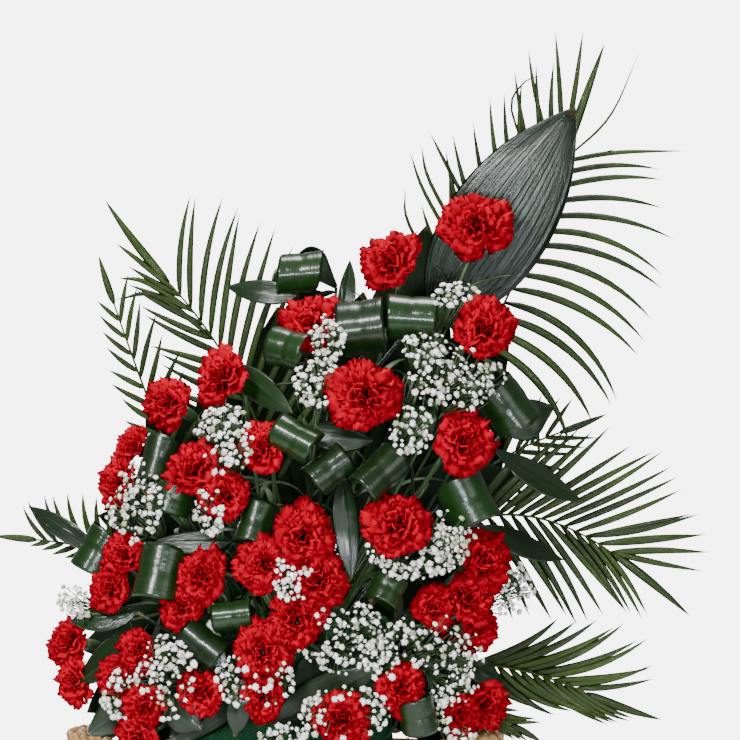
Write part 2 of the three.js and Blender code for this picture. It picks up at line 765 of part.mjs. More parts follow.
// How far before the mass's face a floret sits.
const FLORET_OUT = 4;
const FLORET_SCATTER = 18;
const FLORET_GAP = 2.1; // least distance between two florets, in their half widths
const FLORET_STALK = 0.9;
const SPRAY_STALK = 1.8;
function insideBloom({ at, out, wide }, probe, margin) {
  const from = probe.clone().sub(at);
  const high = from.dot(out);
  const aside = Math.sqrt(Math.max(0, from.lengthSq() - high * high));
  const reach = wide * (high > 0 ? ROOM_FRONT : ROOM_BACK);
  return (aside / (ROOM_ASIDE * wide + margin)) ** 2 + (high / (reach + margin)) ** 2 < 1;
}
function isOpen(from, to, flowers) {
  return [0, 0.2, 0.4, 0.6, 0.8, 1].every((share) => {
    const margin = share === 1 ? FLORET : 1;
    return !flowers.some((flower) => insideBloom(flower, along(from, to, share), margin));
  });
}
function sprayPlan(name, seed, flowers) {
  const draw = drawsFrom(seed);
  const florets = [];
  const clouds = SPRAYS[name].map(([x, up, halfWide, halfTall, count]) => {
    const middle = new THREE.Vector3(x, massFront(x, up), up);
    const hub = along(heart, middle, SPRAY_BACK);
    const branches = [];
    for (let i = 0; i < TRIES * count && branches.length < count; i += 1) {
      const angle = draw() * 2 * Math.PI;
      const reach = Math.sqrt(draw());
      const px = x + halfWide * reach * Math.cos(angle);
      const pz = up + halfTall * reach * Math.sin(angle);
      const at = new THREE.Vector3(px, massFront(px, pz) - FLORET_OUT - FLORET_SCATTER * draw(), pz);
      const root = along(along(heart, hub, 0.9), hub, draw());
      const crowded = florets.some((other) => other.distanceTo(at) < FLORET_GAP * FLORET);
      if (crowded || !isOpen(root, at, flowers)) continue;
      florets.push(at);
      branches.push({ root, at });
    }
    return { hub, branches };
  });
  return clouds;
}
function spray(clouds, ease = 0) {
  const [{ hub: firstHub }] = clouds;
  const start = firstHub.clone().sub(heart).setLength(STEM_END).add(heart);
  const fork = along(heart, firstHub, SPRAY_FORK);
  const pieces = clouds.flatMap(({ hub, branches }, i) => {
    const fine = branches.map(({ root, at }) => {
      const way = at.clone().sub(root).normalize();
      const neck = at.clone().addScaledVector(way, -FLORET);
      const cap = at.clone().addScaledVector(way, FLORET * 0.6);
      const halves = [FLORET_STALK, 0.7 * FLORET_STALK, FLORET, 0];
      return rod([root, neck, at, cap], halves.map((half) => half + ease));
    });
    const halves = [SPRAY_STALK + ease, 0.8 * SPRAY_STALK + ease];
    return [rod([i ? fork : start, hub], halves), ...fine];
  });
  return joined(pieces);
}

// The basket: a woven bowl whose wall swells in and out like the weave round its stakes.
const WEAVE_SIDES = 28;
const WALL_ROWS = 7;
const WALL_TOP = RIM_UP - RIM_ROD;
const RIM_INSET = 2; // the wall's top edge sits this far inside the rim's middle
const FLARE = 0.85;
const WEAVE = 0.008; // how far the weave swells and sinks, as a share of the half width
const wallHalf = (up) =>
  FLOOR_HALF + (WIDE_HALF - RIM_INSET - FLOOR_HALF) * Math.pow(up / WALL_TOP, FLARE);
function ovalTurned(profile, sides) {
  const outline = profile.map(([half, up]) => new THREE.Vector2(half, up));
  return new THREE.LatheGeometry(outline, sides).rotateX(Math.PI / 2);
}
function basketWall() {
  const top = WALL_TOP - CLEAR;
  const rows = Array.from({ length: WALL_ROWS + 1 }, (_, i) => (top * i) / WALL_ROWS);
  const outer = rows.map((up) => [wallHalf(up), up]);
  const inner = [top, top * 0.5, WALL].map((up) => [wallHalf(up) - WALL, up]);
  const profile = [[0, 0], ...outer, ...inner, [0, WALL]];
  const lathe = ovalTurned(profile, WEAVE_SIDES);
  return solidOf(
    reshaped(lathe, (v, i) => {
      const row = i % profile.length;
      const side = Math.floor(i / profile.length) % WEAVE_SIDES;
      const woven = row > 1 && row < outer.length;
      const swell = woven ? 1 + ((row + side) % 2 ? WEAVE : -WEAVE) : 1;
      return new THREE.Vector3(v.x * swell, v.y * swell * OVAL, v.z);
    }),
  );
}
// A braid laid round the basket as a ring whose section turns in waves.
function braid(half, up, thick, strands, sides) {
  const ring = new THREE.TorusGeometry(half, thick, 6, sides);
  return solidOf(
    reshaped(ring, (v) => {
      const turn = Math.atan2(v.y, v.x);
      const off = Math.hypot(v.x, v.y) - half;
      const roll = Math.atan2(v.z, off);
      const swell = 0.9 + 0.1 * Math.cos(2 * roll - strands * turn);
      const reach = half + off * swell;
      return new THREE.Vector3(reach * Math.cos(turn), reach * Math.sin(turn) * OVAL, up + v.z * swell);
    }),
  );
}
const LINER_BELOW = 22; // the liner ends this far below the rim's middle
const LINER_GAP = 3; // and hangs this far inside the wall
function liner() {
  const low = WALL + CLEAR;
  const top = RIM_UP - LINER_BELOW;
  const gap = WALL + LINER_GAP;
  const profile = [
    [0, low],
    [wallHalf(low) - gap, low],
    [wallHalf(top) - gap, top],
    [wallHalf(top) - gap - LINER_WALL, top],
    [wallHalf(low) - gap - LINER_WALL, low + LINER_WALL],
    [0, low + LINER_WALL],
  ];
  const lathe = ovalTurned(profile, WEAVE_SIDES);
  return solidOf(reshaped(lathe, (v) => new THREE.Vector3(v.x, v.y * OVAL, v.z)));
}
const FOAM_TRIM = 14; // how much narrower the foam is at its top
function foamBlock() {
  const low = WALL + LINER_WALL + 2 * CLEAR;
  const block = new THREE.CylinderGeometry(FOAM_HALF - FOAM_TRIM, FOAM_HALF, FOAM_TOP - low, 20);
  block.rotateX(Math.PI / 2).translate(0, 0, (FOAM_TOP + low) / 2);
  return solidOf(reshaped(block, (v) => new THREE.Vector3(v.x, v.y * OVAL, v.z)));
}

// Cuts a piece back from the room that others take up, and keeps its main body.
function cutBack(solid, rooms) {
  const near = rooms.filter((room) => solid.intersect(room).volume() > 0);
  const cut = near.reduce((piece, room) => piece.subtract(room), solid);
  return largest(largest(cut).simplify(SMOOTH));
}

const arrangement = new THREE.Group();
function show(name, solid, kind) {
  const geometry = geometryOf(solid);
  geometry.computeVertexNormals();
  const [color, roughness] = FINISHES[kind];
  const material = new THREE.MeshStandardMaterial({ color, roughness, metalness: 0, flatShading: true });
  const mesh = new THREE.Mesh(geometry, material);
  mesh.name = name;
  arrangement.add(mesh);
}

const bunches = carnationPlaces();
const flowers = Object.values(bunches).flat();

// Each piece is cut back from those shown before it; the foam is cut by all of them.
const rimBraid = (ease) => braid(WIDE_HALF, RIM_UP, RIM_ROD + ease, 18, 36);
const rooms = [rimBraid(CLEAR)];
show("basket_rim_braid", rimBraid(0), "basket");

for (const [name, members] of Object.entries(bunches)) {
  show("carnations_" + name, cutBack(joined(members.map(bloom)), rooms), "carnation");
  rooms.push(joined(members.map(bloomRoom)));
}

const allStems = (ease) =>
  joined([
    solidOf(new THREE.IcosahedronGeometry(HUB_HALF + ease, 0).translate(...HEART)),
    ...Object.values(bunches).map((members) => bunchStems(members, ease)),
  ]);
show("carnation_stems", cutBack(allStems(0), rooms), "stem");

rooms.splice(1, rooms.length, ...Object.values(bunches).map((members) => joined(members.map(plainRoom))));
rooms.push(allStems(CLEAR));

function showFitted(name, make, kind, ease = CLEAR) {
  show(name, cutBack(make(0), rooms), kind);
  rooms.push(make(ease));
}
showFitted("aspidistra_crown_leaf", crownLeaf, "aspidistra");
for (const name of Object.keys(LOOPS)) {
  showFitted("aspidistra_leaves_" + name, (ease) => leafBunch(name, ease), "aspidistra");
}
showFitted("aspidistra_leaves_back", backLeaves, "aspidistra");
for (const [name, spec] of Object.entries(FRONDS)) {
  showFitted("palm_frond_" + name, (ease) => frond(spec, ease), "palm", 1.6 * CLEAR);
}
Object.keys(SPRAYS).forEach((name, i) => {
  const plan = sprayPlan(name, 101 + 17 * i, flowers);
  showFitted("gypsophila_" + name, (ease) => spray(plan, ease), "gypsophila");
});

show("floral_foam", cutBack(foamBlock(), rooms), "foam");
show("basket_liner", liner(), "liner");
show("basket_wall", basketWall(), "basket");
// The foot braid lies round the wall, clear of where the wall widens beside it.
const footHalf = wallHalf(FOOT_ROD) + 1.06 * FOOT_ROD + CLEAR;
show("basket_foot_braid", braid(footHalf, FOOT_ROD, FOOT_ROD, 12, 24), "basket");

export default arrangement;
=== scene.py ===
"""A one-sided funeral flower arrangement in an oval wicker basket.

Red carnations, looped and flat aspidistra leaves, gypsophila and areca palm fronds stand in one
block of floral foam. Every piece is worked out in millimetres and put into its mesh in metres.
The front faces -Y, +Z is up, and the origin is the middle of the basket's underside.
"""

import math

import bpy
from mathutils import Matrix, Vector
import numpy as np


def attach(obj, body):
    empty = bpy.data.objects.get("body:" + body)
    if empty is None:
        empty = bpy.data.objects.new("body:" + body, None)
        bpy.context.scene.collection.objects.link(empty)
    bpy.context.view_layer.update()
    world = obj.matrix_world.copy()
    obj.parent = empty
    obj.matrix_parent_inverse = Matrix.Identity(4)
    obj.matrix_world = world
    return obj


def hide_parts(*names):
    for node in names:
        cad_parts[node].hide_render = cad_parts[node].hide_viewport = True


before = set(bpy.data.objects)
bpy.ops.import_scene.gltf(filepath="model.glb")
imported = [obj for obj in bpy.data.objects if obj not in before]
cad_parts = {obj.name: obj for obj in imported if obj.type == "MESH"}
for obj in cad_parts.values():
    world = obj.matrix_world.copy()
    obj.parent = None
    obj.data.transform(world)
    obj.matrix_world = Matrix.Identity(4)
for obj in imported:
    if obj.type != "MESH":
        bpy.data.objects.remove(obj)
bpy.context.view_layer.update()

METRES = 0.001  # a millimetre in metres
UP = np.array([0.0, 0.0, 1.0])
FRONT = np.array([0.0, -1.0, 0.0])
TURN = 2 * np.pi
NO_THREES = np.zeros((0, 3), int)
# Seeds of the random draws; the pieces of a group count on from the group's own
SEEDS = {
    "blooms": 5, "stems": 6, "leaves": 31, "back_leaves": 47, "low_leaves": 49, "crown_leaf": 53,
    "wall": 61, "foam": 71, "rim": 81, "foot": 82, "fronds": 201, "sprays": 301,
}

# Driving dimensions, as in the part
WIDE_HALF = 222  # basket, middle of the braided rim, across
OVAL = 0.8  # the basket's depth as a share of its width
RIM_UP = 272
RIM_ROD = 11
FLOOR_HALF = 150
FOOT_ROD = 9
WALL = 6
LINER_WALL = 1.5
FOAM_HALF = 122
FOAM_TOP = 400
FOAM_ROUGH = 0.55
CLEAR = 0.4  # the small gap between pieces that touch
HEART = np.array([0.0, 10.0, 310.0])  # the point in the foam that every stem aims at
STEM_END = 52  # how far from the heart the stems of leaves and sprays end
STEM_ROD = 2.2

# Carnations by bunch: across, up, width, and how far behind the mass's face each sits
CARNATIONS = {
    "crown": [[200, 813, 74, 0]],
    "upper_middle": [[108, 774, 68, 0]],
    "upper_right": [[207, 707, 73, 0]],
    "upper_left": [[26, 711, 66, 12]],
    "heart_top": [[83, 637, 78, 0]],
    "right_shoulder": [[187, 590, 76, 0]],
    "left_shoulder": [[-66, 655, 66, 0]],
    "left_tip": [[-122, 627, 62, 0]],
    "centre_right": [[118, 506, 74, 0]],
    "left_middle": [[-94, 563, 62, 0], [-47, 529, 58, 6]],
    "middle": [[-21, 585, 58, 12]],
    "left_high": [[-158, 582, 50, 0], [-176, 540, 56, 4]],
    "left_side": [[-166, 474, 52, 8], [-184, 428, 52, 8]],
    "centre": [
        [21, 495, 72, 0],
        [-26, 461, 66, 6],
        [42, 440, 68, 0],
        [13, 405, 64, 2],
        [-20, 377, 64, 0],
        [-20, 330, 52, 0],
    ],
    "inner_left": [[-83, 455, 58, 8], [-107, 417, 50, 10]],
    "right": [[209, 466, 68, 0], [187, 415, 66, 0], [137, 417, 52, 4], [207, 386, 54, 6]],
    "low_right": [[122, 335, 56, 0]],
    "low_middle": [[61, 308, 64, 0]],
    "rim_right": [[212, 313, 58, 0], [176, 303, 50, 6]],
    "low_left": [[-151, 375, 50, 8], [-176, 345, 48, 8]],
    "inner_low": [[-85, 335, 52, 4]],
    "rim_left": [[-142, 317, 52, 0], [-150, 284, 52, 0]],
    "left_rim_side": [[-226, 377, 58, 10], [-216, 324, 54, 0]],
}
# Carnations behind the face, which turn to the sides: across, back, up and width
SIDE_CARNATIONS = {
    "back_left": [[-150, 92, 500, 62]],
    "back_right": [[178, 120, 500, 62]],
    "back_low_left": [[-178, 72, 352, 60]],
    "back_low_right": [[182, 74, 360, 60]],
}

# Looped leaves by bunch: across, up, tilt of the fold in degrees, width of the blade,
# diameter of the loop, and how far behind the mass's face its middle sits
LOOPS = {
    "top": [
        [20, 758, -5, 50, 48, 10],
        [82, 706, 4, 50, 56, 14],
        [131, 716, -3, 52, 44, 16],
        [8, 683, -22, 44, 40, 14],
    ],
    "right": [[229, 624, -45, 54, 48, 12], [189, 527, -70, 54, 50, 10], [137, 612, 2, 36, 28, 22]],
    "middle": [[14, 592, -33, 48, 36, 6], [46, 560, 40, 46, 36, 16], [97, 556, 45, 58, 38, 10]],
    "left": [
        [-129, 568, 90, 50, 34, 8],
        [-114, 528, 82, 34, 40, 14],
        [-28, 505, 80, 46, 34, 26],
        [-126, 453, 88, 58, 46, 8],
    ],
    "low_left": [[-50, 413, 5, 42, 30, 16], [-80, 382, -35, 50, 34, 14], [-190, 474, 60, 48, 42, 14]],
    "low_right": [[105, 437, 60, 34, 34, 8], [137, 312, -70, 40, 38, 2]],
}
# Rolled blades by bunch: across, back, up, half height of the roll and width
ROLLS = {"top": [[15, -40, 762, 21, 46]]}
# Flat leaves by bunch: base and tip as across and up, width, and how far back base and tip lie
FLAT_LEAVES = {
    "top": [[16, 738, -62, 748, 28, -20, 6], [60, 700, 68, 776, 22, -60, -38]],
    "right": [
        [215, 580, 313, 522, 46, -40, -12],
        [228, 592, 281, 622, 44, 8, 26],
        [200, 500, 292, 461, 34, -66, -26],
    ],
    "middle": [[60, 562, 70, 448, 28, -160, -176], [20, 600, 92, 590, 34, -150, -150]],
    "left": [
        [-60, 669, 10, 618, 30, -70, -136],
        [-195, 468, -272, 516, 24, -20, 8],
        [-50, 488, -134, 486, 26, -166, -158],
    ],
    "low_left": [
        [-84, 298, -128, 330, 40, -190, -170],
        [-48, 292, -40, 350, 26, -196, -200],
        [-104, 424, -60, 348, 44, -152, -178],
        [-150, 412, -222, 402, 30, -122, -104],
        [-150, 392, -214, 338, 38, -132, -100],
    ],
    "low_right": [[-10, 300, 96, 360, 46, -150, -186], [190, 356, 228, 330, 34, -40, -30]],
}
# Leaves that back the arrangement: across and up of the tip, how far back it lies, and width
BACK_LEAVES = [
    [-150, 640, 96, 104],
    [-80, 682, 90, 108],
    [-10, 726, 86, 112],
    [82, 742, 82, 112],
    [166, 752, 80, 112],
    [238, 726, 82, 112],
    [236, 592, 104, 110],
    [226, 474, 124, 108],
    [212, 372, 126, 96],
    [-178, 540, 112, 108],
    [-206, 446, 126, 106],
    [-206, 362, 128, 92],
    [-78, 330, 186, 92],
    [52, 330, 190, 92],
]
# Small leaves that fill the gaps between the flowers, in the darker colours of painted shade: root, tip and
# width
DEEP_LEAVES = [
    ([-60, 30, 470], [-200, 40, 505], 62),
    ([-70, 40, 400], [-220, 50, 362], 66),
    ([-80, 30, 385], [-212, 40, 295], 66),
    ([-60, 20, 380], [-150, 0, 262], 62),
    ([30, 90, 400], [-90, 100, 424], 62),
    ([30, 90, 400], [112, 100, 444], 62),
    ([60, 40, 372], [230, 50, 318], 68),
    ([60, 30, 380], [172, 10, 260], 62),
    ([98, 40, 630], [112, 38, 770], 46),
    ([110, 50, 520], [250, 58, 544], 64),
    ([128, 34, 656], [148, 24, 812], 62),
]
# Leaves laid over the foam: root, tip, width and the way they face
LOW_LEAVES = [
    ([-5, -104, 398], [-118, -150, 276], 66, [0, -1, 0.2]),
    ([98, -112, 380], [0, -142, 322], 66, [0, -1, 0.2]),
    ([-88, -70, 362], [-204, -112, 284], 58, [0, -1, 0.2]),
    ([40, -108, 392], [66, -156, 280], 56, [0, -1, 0.2]),
    ([130, -30, 404], [176, -52, 284], 66, [1, -0.1, 0.2]),
    ([130, 42, 404], [168, 74, 282], 66, [1, 0.2, 0.2]),
    ([-130, -24, 404], [-176, -36, 284], 66, [-1, -0.1, 0.2]),
    ([-130, 44, 404], [-168, 76, 282], 66, [-1, 0.2, 0.2]),
    ([-62, 108, 404], [-96, 136, 282], 66, [-0.2, 1, 0.2]),
    ([48, 108, 404], [80, 138, 282], 66, [0.2, 1, 0.2]),
    ([-8, 108, 404], [-2, 144, 280], 60, [0, 1, 0.2]),
]
BACK_HUB = np.array([20.0, 84.0, 380.0])  # where the stalks of the leaves behind part
CROWN_LEAF = {"base": [150.0, 12, 700], "tip": [304.0, -22, 936], "wide": 112}

# Leaflets that stray from a frond's even fan: where each leaves the rib, the places that it
# passes as across, up, and half its width
STRAY_LEAFLETS = {
    "crown": [
        (1.0, [[290, 961], [286, 1018]], 3.0),
        (1.0, [[307, 961], [315, 1018]], 3.2),
        (0.97, [[265, 949], [257, 999]], 2.6),
        (0.93, [[240, 930], [251, 963], [275, 973]], 1.3),
        (1.0, [[343, 928], [375, 997]], 1.4),
        (1.0, [[322, 885], [349, 894]], 2.0),
        (1.0, [[350, 890], [423, 892]], 2.8),
        (0.7, [[152, 838], [131, 892]], 2.4),
        (0.72, [[157, 850], [143, 899]], 2.4),
        (0.76, [[174, 870], [153, 911]], 2.4),
        (0.64, [[134, 806], [126, 853]], 2.0),
    ],
    "right": [
        (1.0, [[398, 468], [448, 466]], 4.0),
        (1.0, [[392, 455], [441, 446]], 3.6),
        (0.96, [[388, 479], [446, 485]], 4.0),
        (0.92, [[376, 490], [438, 506]], 4.0),
    ],
    "upper_left": [
        (0.97, [[-155, 774], [-181, 794]], 3.4),
        (0.9, [[-148, 752], [-178, 757]], 3.4),
        (0.82, [[-138, 738], [-181, 734]], 3.2),
    ],
}

# Palm fronds. Rib: base, bend and tip. Its leaflets start at a share of the rib, and those on
# each side have a number, the longest length, a spread from the rib and a bend in degrees
FRONDS = {
    "crown": {
        "rib": [[14, 40, 352], [190, 52, 600], [294, 40, 881]],
        "from": 0.62,
        "left": [12, 184, 54, 16],
        "right": [14, 162, 78, -32],
    },
    "upper_left": {
        "rib": [[0, 44, 362], [18, 62, 596], [-125, 48, 752]],
        "from": 0.4,
        "left": [13, 98, 52, 4],
        "right": [14, 165, 44, -10],
    },
    "left": {
        "rib": [[-22, 40, 352], [-112, 36, 520], [-182, 22, 730]],
        "from": 0.52,
        "left": [11, 46, 52, 8],
        "right": [10, 74, 40, -4],
    },
    "left_low": {
        "rib": [[-44, 34, 336], [-130, 44, 470], [-264, 16, 480]],
        "from": 0.62,
        "left": [7, 30, 48, 10],
        "right": [9, 66, 44, -22],
    },
    "right": {
        "rib": [[38, 46, 344], [175, 52, 585], [345, 34, 466]],
        "from": 0.52,
        "left": [13, 150, 45, -4],
        "right": [12, 138, 46, -8],
    },
    "right_back": {
        "rib": [[24, 60, 350], [150, 74, 545], [292, 66, 592]],
        "from": 0.55,
        "left": [8, 74, 44, 0],
        "right": [8, 74, 44, 0],
    },
    "right_low": {
        "rib": [[50, 26, 322], [190, 26, 378], [318, 8, 318]],
        "from": 0.55,
        "left": [10, 124, 22, -16],
        "right": [10, 98, 38, 20],
    },
    "right_rim": {
        "rib": [[52, -4, 316], [150, -34, 330], [236, -54, 290]],
        "from": 0.7,
        "left": [5, 52, 20, 0],
        "right": [5, 46, 26, 0],
    },
}

# Gypsophila: clouds of florets as across, up, half width, half height and weight, by spray
SPRAYS = {
    "top_left": [[45, 697, 15, 20, 3], [35, 650, 20, 20, 3]],
    "top_right": [[178, 655, 44, 28, 7], [146, 686, 20, 12, 2], [178, 738, 20, 10, 2]],
    "middle_right": [[131, 602, 18, 20, 3]],
    "upper_left": [[-60, 592, 26, 30, 5], [-74, 520, 11, 20, 2]],
    "left": [[-155, 528, 26, 36, 5], [-220, 419, 15, 14, 2]],
    "right": [[137, 480, 46, 24, 6], [165, 498, 28, 18, 2]],
    "right_side": [[238, 430, 20, 22, 3]],
    "centre": [[11, 456, 14, 22, 2], [64, 392, 44, 30, 6]],
    "low_right": [[147, 370, 56, 38, 7], [180, 314, 18, 40, 3]],
    "low_left": [[-118, 350, 26, 38, 5], [-166, 330, 18, 20, 2]],
    "low_middle": [[-28, 350, 34, 24, 3], [64, 316, 40, 22, 3], [18, 288, 40, 14, 3]],
}


# The mass of flowers: its middle, half width and front depth change with the height
MASS_HALF = 240
MASS_WAIST, MASS_REACH = 430, 400  # the mass narrows above the waist, over the reach
MASS_DEPTH = 0.85  # as a share of the half width
MASS_FOOT = -5  # the middle's place across at the foot
LEAN, LEAN_FROM, LEAN_REACH = 205, 370, 438
FACE_BACK = 70  # flowers face away from a line this far back
FACE_LIFT, FACE_LEVEL, FACE_REACH = 0.3, 440, 300  # their lift at a level, and how it changes
FACE_LIMITS = (-0.45, 0.4)


def mass_middle(up):
    """The middle leans to the right as the square of the height above where the lean starts."""
    rise = np.maximum(0, (up - LEAN_FROM) / LEAN_REACH)
    return MASS_FOOT + LEAN * rise**2


def mass_half(up):
    """The half width is a quarter of an ellipse above the waist, and constant below it."""
    rise = np.maximum(0, (up - MASS_WAIST) / MASS_REACH)
    return MASS_HALF * np.sqrt(np.maximum(0.03, 1 - rise**2))


def mass_front(across, up):
    """The front is half an ellipse in plan."""
    share = (across - mass_middle(up)) / mass_half(up)
    return -MASS_DEPTH * mass_half(up) * np.sqrt(np.maximum(0, 1 - share**2))


def unit(ways):
    """Directions of length one."""
    return ways / np.maximum(np.linalg.norm(ways, axis=-1, keepdims=True), 1e-9)


def mass_outward(at):
    """The way a flower on the face turns: outwards, up near the top and down near the rim."""
    x, y, up = at
    lift = np.clip(FACE_LIFT + (up - FACE_LEVEL) / FACE_REACH, *FACE_LIMITS)
    flat = unit(np.array([x - mass_middle(up), y - FACE_BACK, 0.0]))
    return unit(np.array([flat[0], flat[1], lift]))


def mix(a, b, share):
    """The point a given share of the way from a to b."""
    return a + (b - a) * share


def evenly(count):
    """Angles evenly round a whole turn."""
    return TURN * np.arange(count) / count


def draws(group, step=0):
    """The random draws of a group's piece."""
    return np.random.default_rng(SEEDS[group] + step)


def from_heart(at):
    """Where a stem towards a place leaves the knot in the foam."""
    return HEART + unit(at - HEART) * STEM_END


class Surfaces:
    """Collects copies of grids and rods, as whole arrays, for the mesh of one piece."""

    def __init__(self):
        self.places, self.fours, self.threes, self.prints, self.tints = [], [], [], [], []
        self.count = 0

    def add(self, places, faces, prints, tint):
        """Copies by points by three, with the faces of one copy as (fours, threes)."""
        copies, points = places.shape[:2]
        start = self.count + np.arange(copies)[:, None, None] * points
        fours, threes = faces
        self.fours.append((fours[None] + start).reshape(-1, 4))
        self.threes.append((threes[None] + start).reshape(-1, 3))
        self.places.append(places.reshape(-1, 3))
        self.prints.append(np.broadcast_to(prints, (copies, points, 2)).reshape(-1, 2))
        self.tints.append(np.broadcast_to(tint, (copies, points)).reshape(-1))
        self.count += copies * points

    def piece(self, name, material, slot, node):
        """Puts everything collected into one mesh object that rides on the part's body."""
        places = np.concatenate(self.places) * METRES
        fours = np.concatenate(self.fours)
        threes = np.concatenate(self.threes)
        corners = np.concatenate([fours.ravel(), threes.ravel()])
        starts = [np.arange(len(fours)) * 4, len(fours) * 4 + np.arange(len(threes)) * 3]
        starts = np.concatenate(starts)
        mesh = bpy.data.meshes.new(name)
        mesh.vertices.add(len(places))
        mesh.vertices.foreach_set("co", places.astype(np.float32).ravel())
        mesh.loops.add(len(corners))
        mesh.loops.foreach_set("vertex_index", corners.astype(np.int32))
        mesh.polygons.add(len(starts))
        mesh.polygons.foreach_set("loop_start", starts.astype(np.int32))
        mesh.update(calc_edges=True)
        mesh.polygons.foreach_set("use_smooth", np.ones(len(starts), bool))
        prints = np.concatenate(self.prints)[corners]
        mesh.uv_layers.new(name="growth").data.foreach_set("uv", prints.astype(np.float32).ravel())
        tint = mesh.attributes.new("tint", "FLOAT", "POINT")
        tint.data.foreach_set("value", np.concatenate(self.tints).astype(np.float32))
        mesh.materials.append(material)
        made = bpy.data.objects.new(name, mesh)
        bpy.context.scene.collection.objects.link(made)
        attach(made, "root")
        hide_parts(node)


def grid_fours(grid):
    """The four-cornered faces of a grid of point numbers."""
    corners = [grid[:-1, :-1], grid[:-1, 1:], grid[1:, 1:], grid[1:, :-1]]
    return np.stack(corners, axis=-1).reshape(-1, 4)


def blade_faces(rows, columns):
    """A closed blade: one grid seen from above, one from below, joined along their edge."""
    upper = np.arange(rows * columns).reshape(rows, columns)
    under = upper.copy()
    inner = np.arange((rows - 2) * (columns - 2)).reshape(rows - 2, columns - 2)
    under[1:-1, 1:-1] = rows * columns + inner
    fours = np.concatenate([grid_fours(upper), grid_fours(under)[:, ::-1]])
    return fours, NO_THREES


def blade_points(middle, thick):
    """Upper and under points of blades, half the thickness off their middle along its normal.

    The normal is the direction across crossed with the direction along, and the thickness
    falls to nothing at the edge, where both sides share their points."""
    along, across = np.gradient(middle, axis=1), np.gradient(middle, axis=2)
    normal = unit(np.cross(across, along))
    inner = np.zeros(middle.shape[1:3] + (1,))
    inner[1:-1, 1:-1] = thick / 2
    copies = middle.shape[0]
    upper = (middle + normal * inner).reshape(copies, -1, 3)
    under = (middle - normal * inner)[:, 1:-1, 1:-1].reshape(copies, -1, 3)
    return np.concatenate([upper, under], axis=1)


def blade_prints(rows, columns):
    """Across and along, each from 0 to 1, for both sides of a blade."""
    along, across = np.meshgrid(np.linspace(0, 1, rows), np.linspace(0, 1, columns), indexing="ij")
    whole = np.stack([across, along], axis=-1)
    return np.concatenate([whole.reshape(-1, 2), whole[1:-1, 1:-1].reshape(-1, 2)])


def add_blade_pairs(surfaces, middle, thick, tint):
    """Blades with both their sides, from their middle surfaces as copies by rows by columns."""
    rows, columns = middle.shape[1:3]
    points = blade_points(middle, thick)
    surfaces.add(points, blade_faces(rows, columns), blade_prints(rows, columns), tint)


def add_folded(surfaces, paths, across, width, fold, columns, thick, tint):
    """Folded blades: each row lies square to its path, as wide as given on both sides, and
    rises from the midrib to both edges by the fold's share of the width."""
    way = unit(np.gradient(paths, axis=1))
    across = unit(across - way * (way * across).sum(-1, keepdims=True))
    up = np.cross(way, across)
    off = np.linspace(-1, 1, columns)[None, None, :, None]
    sheet = across[:, :, None] * off + up[:, :, None] * fold * (np.abs(off) - 0.5)
    add_blade_pairs(surfaces, paths[:, :, None] + width[..., None, None] * sheet, thick, tint)


ROD_HINT = unit(np.array([0.3, 1.0, 0.2]))  # no rod runs along this way


def rod_faces(stations, sides):
    """A closed rod: rings of points joined in turn, with a point at each end."""
    ring = np.arange(stations * sides).reshape(stations, sides)
    wrapped = np.concatenate([ring, ring[:, :1]], axis=1)
    first, last = stations * sides, stations * sides + 1
    here, there = wrapped[:, :-1], wrapped[:, 1:]
    low = np.stack([np.full(sides, first), there[0], here[0]], axis=-1)
    high = np.stack([np.full(sides, last), here[-1], there[-1]], axis=-1)
    return grid_fours(wrapped), np.concatenate([low, high])


def circles(way, hint, sides):
    """Directions evenly round each way and square to it, the first square to the hint too."""
    first = unit(np.cross(way, hint))[:, :, None]
    second = np.cross(way, first[:, :, 0])[:, :, None]
    turn = evenly(sides)
    return np.cos(turn)[:, None] * first + np.sin(turn)[:, None] * second


def rod_prints(run, sides):
    """Round a rod from 1 to 0 and back, and along it as each station's run says."""
    round_it = np.tile(np.abs(2 * np.arange(sides) / sides - 1), len(run))
    return np.stack([round_it, np.repeat(run, sides)], axis=-1)


def add_rods(surfaces, paths, radii, sides, tint=0.5, ripple=None):
    """Rods: a circle of each station's radius is carried square to the path.

    Paths are copies by stations by three, and radii copies by stations or stations alone.
    A ripple, copies by stations by sides, multiplies the radius round the ring."""
    copies, stations = paths.shape[:2]
    way = unit(np.gradient(paths, axis=1))
    reach = np.broadcast_to(np.asarray(radii, float), (copies, stations))[..., None]
    if ripple is not None:
        reach = reach * ripple
    reach = np.broadcast_to(reach, (copies, stations, sides))[..., None]
    rings = paths[:, :, None] + circles(way, ROD_HINT, sides) * reach
    places = np.concatenate([rings.reshape(copies, -1, 3), paths[:, [0, -1]]], axis=1)
    prints = rod_prints(np.linspace(0, 1, stations), sides)
    prints = np.concatenate([prints, [[0.5, 0.0], [0.5, 1.0]]])
    surfaces.add(places, rod_faces(stations, sides), prints, tint)


def ring_faces(stations, sides):
    """A rod that closes on itself: both the path and its section wrap round."""
    grid = np.arange(stations * sides).reshape(stations, sides)
    grid = np.concatenate([grid, grid[:1]])
    grid = np.concatenate([grid, grid[:, :1]], axis=1)
    return grid_fours(grid), NO_THREES


def add_rings(surfaces, paths, radius, sides, tints, laps):
    """Closed rods: the way along is taken from the points on both sides of each station, and
    the pattern runs the given number of laps to the far side and back."""
    copies, stations = paths.shape[:2]
    way = unit(np.roll(paths, -1, axis=1) - np.roll(paths, 1, axis=1))
    places = (paths[:, :, None] + circles(way, UP, sides) * radius).reshape(copies, -1, 3)
    prints = rod_prints(np.abs(np.linspace(-laps, laps, stations)), sides)
    surfaces.add(places, ring_faces(stations, sides), prints, tints)


